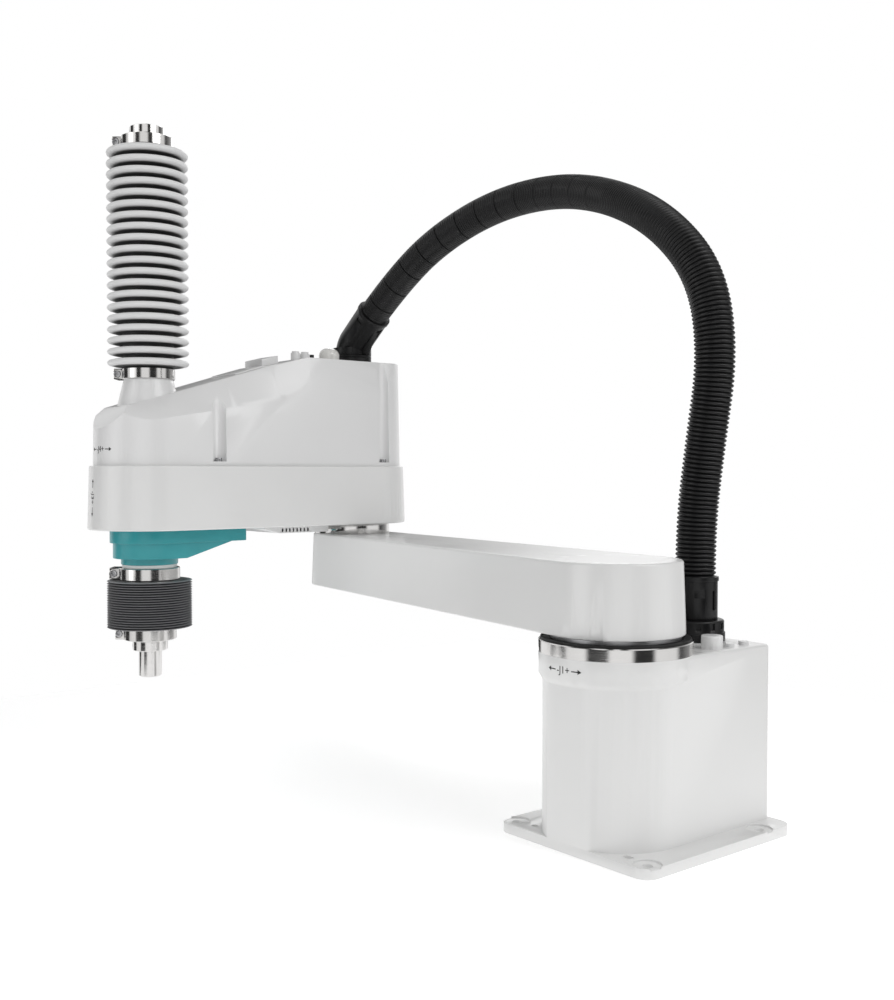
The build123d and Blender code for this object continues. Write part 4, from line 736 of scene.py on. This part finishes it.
def layMark(text, node, body, centre, turn, height, length, upright):
    bpy.ops.object.text_add(location=(0, 0, 0))
    letters = bpy.context.object
    letters.data.body = text
    letters.data.size = 0.0088
    letters.data.align_x = "CENTER"
    letters.data.align_y = "CENTER"
    letters.data.extrude = 0.00005
    bpy.ops.object.convert(target="MESH")
    parts = [bpy.context.object]
    for way in (-1, 1):
        parts.append(addBlock((0.0070, 0.0009, 0.0001), (way * (length / 2 - 0.0055), 0, 0)))
        bpy.ops.mesh.primitive_cylinder_add(vertices=3, radius=0.0024, depth=0.0001,
                                            location=(way * (length / 2 - 0.0016), 0, 0),
                                            rotation=(0, 0, math.radians(-90 * way)))
        settle(bpy.context.object)
        parts.append(bpy.context.object)
    mark = joinPieces(parts, "axisMark" + text[1:3])
    makeActive(mark)
    bpy.ops.object.mode_set(mode="EDIT")
    bpy.ops.mesh.select_all(action="SELECT")
    bpy.ops.mesh.subdivide(number_cuts=2)
    bpy.ops.object.mode_set(mode="OBJECT")
    surface = skins[node]
    axis = Vector((centre[0], centre[1], 0))
    start = axis + heading(turn, 0.3, height)
    reach = 0.3 - (surface.ray_cast(start, -heading(turn))[1] - start).length
    for vertex in mark.data.vertices:
        x, y, lift = vertex.co
        if upright:
            x, y = y, -x
        angle = turn + math.degrees(x / reach)
        start = axis + heading(angle, 0.3, height + y)
        hit, place, normal, index = surface.ray_cast(start, -heading(angle))
        vertex.co = place + heading(angle, 0.00012 + lift)
    cleanMesh(mark, 0.000001)
    finishPiece(mark, mark.name, body, markInk)


for row in marks:
    layMark(*row)
print("marks laid")


# camera, lights, floor
cameraView = {"place": (0.767633, 0.697639, 0.326975), "yaw": -129.494, "down": 1.404, "lens": 42.016}
yaw, down = math.radians(cameraView["yaw"]), math.radians(cameraView["down"])
look = Vector((math.cos(yaw) * math.cos(down), math.sin(yaw) * math.cos(down), -math.sin(down)))
cameraData = bpy.data.cameras.new("photoCamera")
cameraData.lens = cameraView["lens"]
cameraData.sensor_width = 36
cameraData.sensor_fit = "AUTO"
cameraData.clip_start = 0.01
camera = bpy.data.objects.new("photoCamera", cameraData)
bpy.context.scene.collection.objects.link(camera)
camera.location = cameraView["place"]
camera.rotation_euler = look.to_track_quat("-Z", "Y").to_euler()
bpy.context.scene.camera = camera

bpy.ops.mesh.primitive_plane_add(size=1.6, location=(0.05, -0.2, -0.0005))
floor = bpy.context.object
floor.name = "floor"
floorMaterial = newMaterial("paleFloor", (0.90, 0.90, 0.90), 0.7)
floorShader = floorMaterial.node_tree.nodes["Principled BSDF"]
floorShader.inputs["Emission Color"].default_value = (1, 1, 1, 1)
floorShader.inputs["Emission Strength"].default_value = 0.42
floorShader.inputs["Specular IOR Level"].default_value = 0.0
floor.data.materials.append(floorMaterial)

studio = {"soft": 0.46}    # level of the surround for all but glossy rays
world = bpy.data.worlds.new("studio")
bpy.context.scene.world = world
world.use_nodes = True
tree = world.node_tree
tree.nodes.clear()
output = tree.nodes.new("ShaderNodeOutputWorld")
rays = tree.nodes.new("ShaderNodeLightPath")


def plainBackground(strength):
    background = tree.nodes.new("ShaderNodeBackground")
    background.inputs["Color"].default_value = (1, 1, 1, 1)
    background.inputs["Strength"].default_value = strength
    return background


# softboxes round the object that only glossy surfaces see: upright bands between dark flags
where = tree.nodes.new("ShaderNodeTexCoord")
split = tree.nodes.new("ShaderNodeSeparateXYZ")
angle = tree.nodes.new("ShaderNodeMath")
angle.operation = "ARCTAN2"
tree.links.new(where.outputs["Generated"], split.inputs["Vector"])
tree.links.new(split.outputs["Y"], angle.inputs[0])
tree.links.new(split.outputs["X"], angle.inputs[1])
turnShare = tree.nodes.new("ShaderNodeMapRange")
turnShare.inputs["From Min"].default_value = -math.pi
turnShare.inputs["From Max"].default_value = math.pi
tree.links.new(angle.outputs["Value"], turnShare.inputs["Value"])
bands = tree.nodes.new("ShaderNodeValToRGB")
bandStops = [(0.0, 0.35), (0.05, 0.95), (0.12, 1.0), (0.14, 0.03), (0.20, 0.03), (0.22, 1.0), (0.30, 1.0), (0.32, 0.03),
             (0.39, 0.03), (0.41, 0.9), (0.49, 1.0), (0.51, 0.03), (0.58, 0.03), (0.60, 1.0), (0.68, 1.0), (0.70, 0.03),
             (0.77, 0.03), (0.79, 0.95), (0.89, 0.9), (0.92, 0.05), (1.0, 0.35)]
ramp = bands.color_ramp
ramp.elements[0].position, ramp.elements[0].color = bandStops[0][0], (bandStops[0][1],) * 3 + (1,)
ramp.elements[1].position, ramp.elements[1].color = bandStops[-1][0], (bandStops[-1][1],) * 3 + (1,)
for position, level in bandStops[1:-1]:
    ramp.elements.new(position).color = (level, level, level, 1)
tree.links.new(turnShare.outputs["Result"], bands.inputs["Fac"])
softboxes = plainBackground(1.0)
tree.links.new(bands.outputs["Color"], softboxes.inputs["Color"])
first = tree.nodes.new("ShaderNodeMixShader")
second = tree.nodes.new("ShaderNodeMixShader")
tree.links.new(rays.outputs["Is Glossy Ray"], first.inputs["Fac"])
tree.links.new(plainBackground(studio["soft"]).outputs["Background"], first.inputs[1])
tree.links.new(softboxes.outputs["Background"], first.inputs[2])
tree.links.new(rays.outputs["Is Camera Ray"], second.inputs["Fac"])
tree.links.new(first.outputs["Shader"], second.inputs[1])
tree.links.new(plainBackground(1.0).outputs["Background"], second.inputs[2])
tree.links.new(second.outputs["Shader"], output.inputs["Surface"])


def softLamp(name, place, target, size, watts):
    data = bpy.data.lights.new(name, "AREA")
    data.shape = "RECTANGLE"
    data.size, data.size_y = size
    data.energy = watts
    lamp = bpy.data.objects.new(name, data)
    bpy.context.scene.collection.objects.link(lamp)
    lamp.location = place
    lamp.rotation_euler = (Vector(target) - Vector(place)).to_track_quat("-Z", "Y").to_euler()
    return lamp


aim = (0.02, -0.2, 0.3)
softLamp("keyLamp", (-0.3, 1.3, 1.5), aim, (1.2, 1.2), 13)
softLamp("sideLamp", (1.7, -0.6, 0.8), aim, (0.9, 1.6), 5)
softLamp("backLamp", (-1.2, -1.4, 1.4), aim, (1.2, 1.2), 8)

view = bpy.context.scene.view_settings
view.view_transform = "Standard"

print("scene ready")
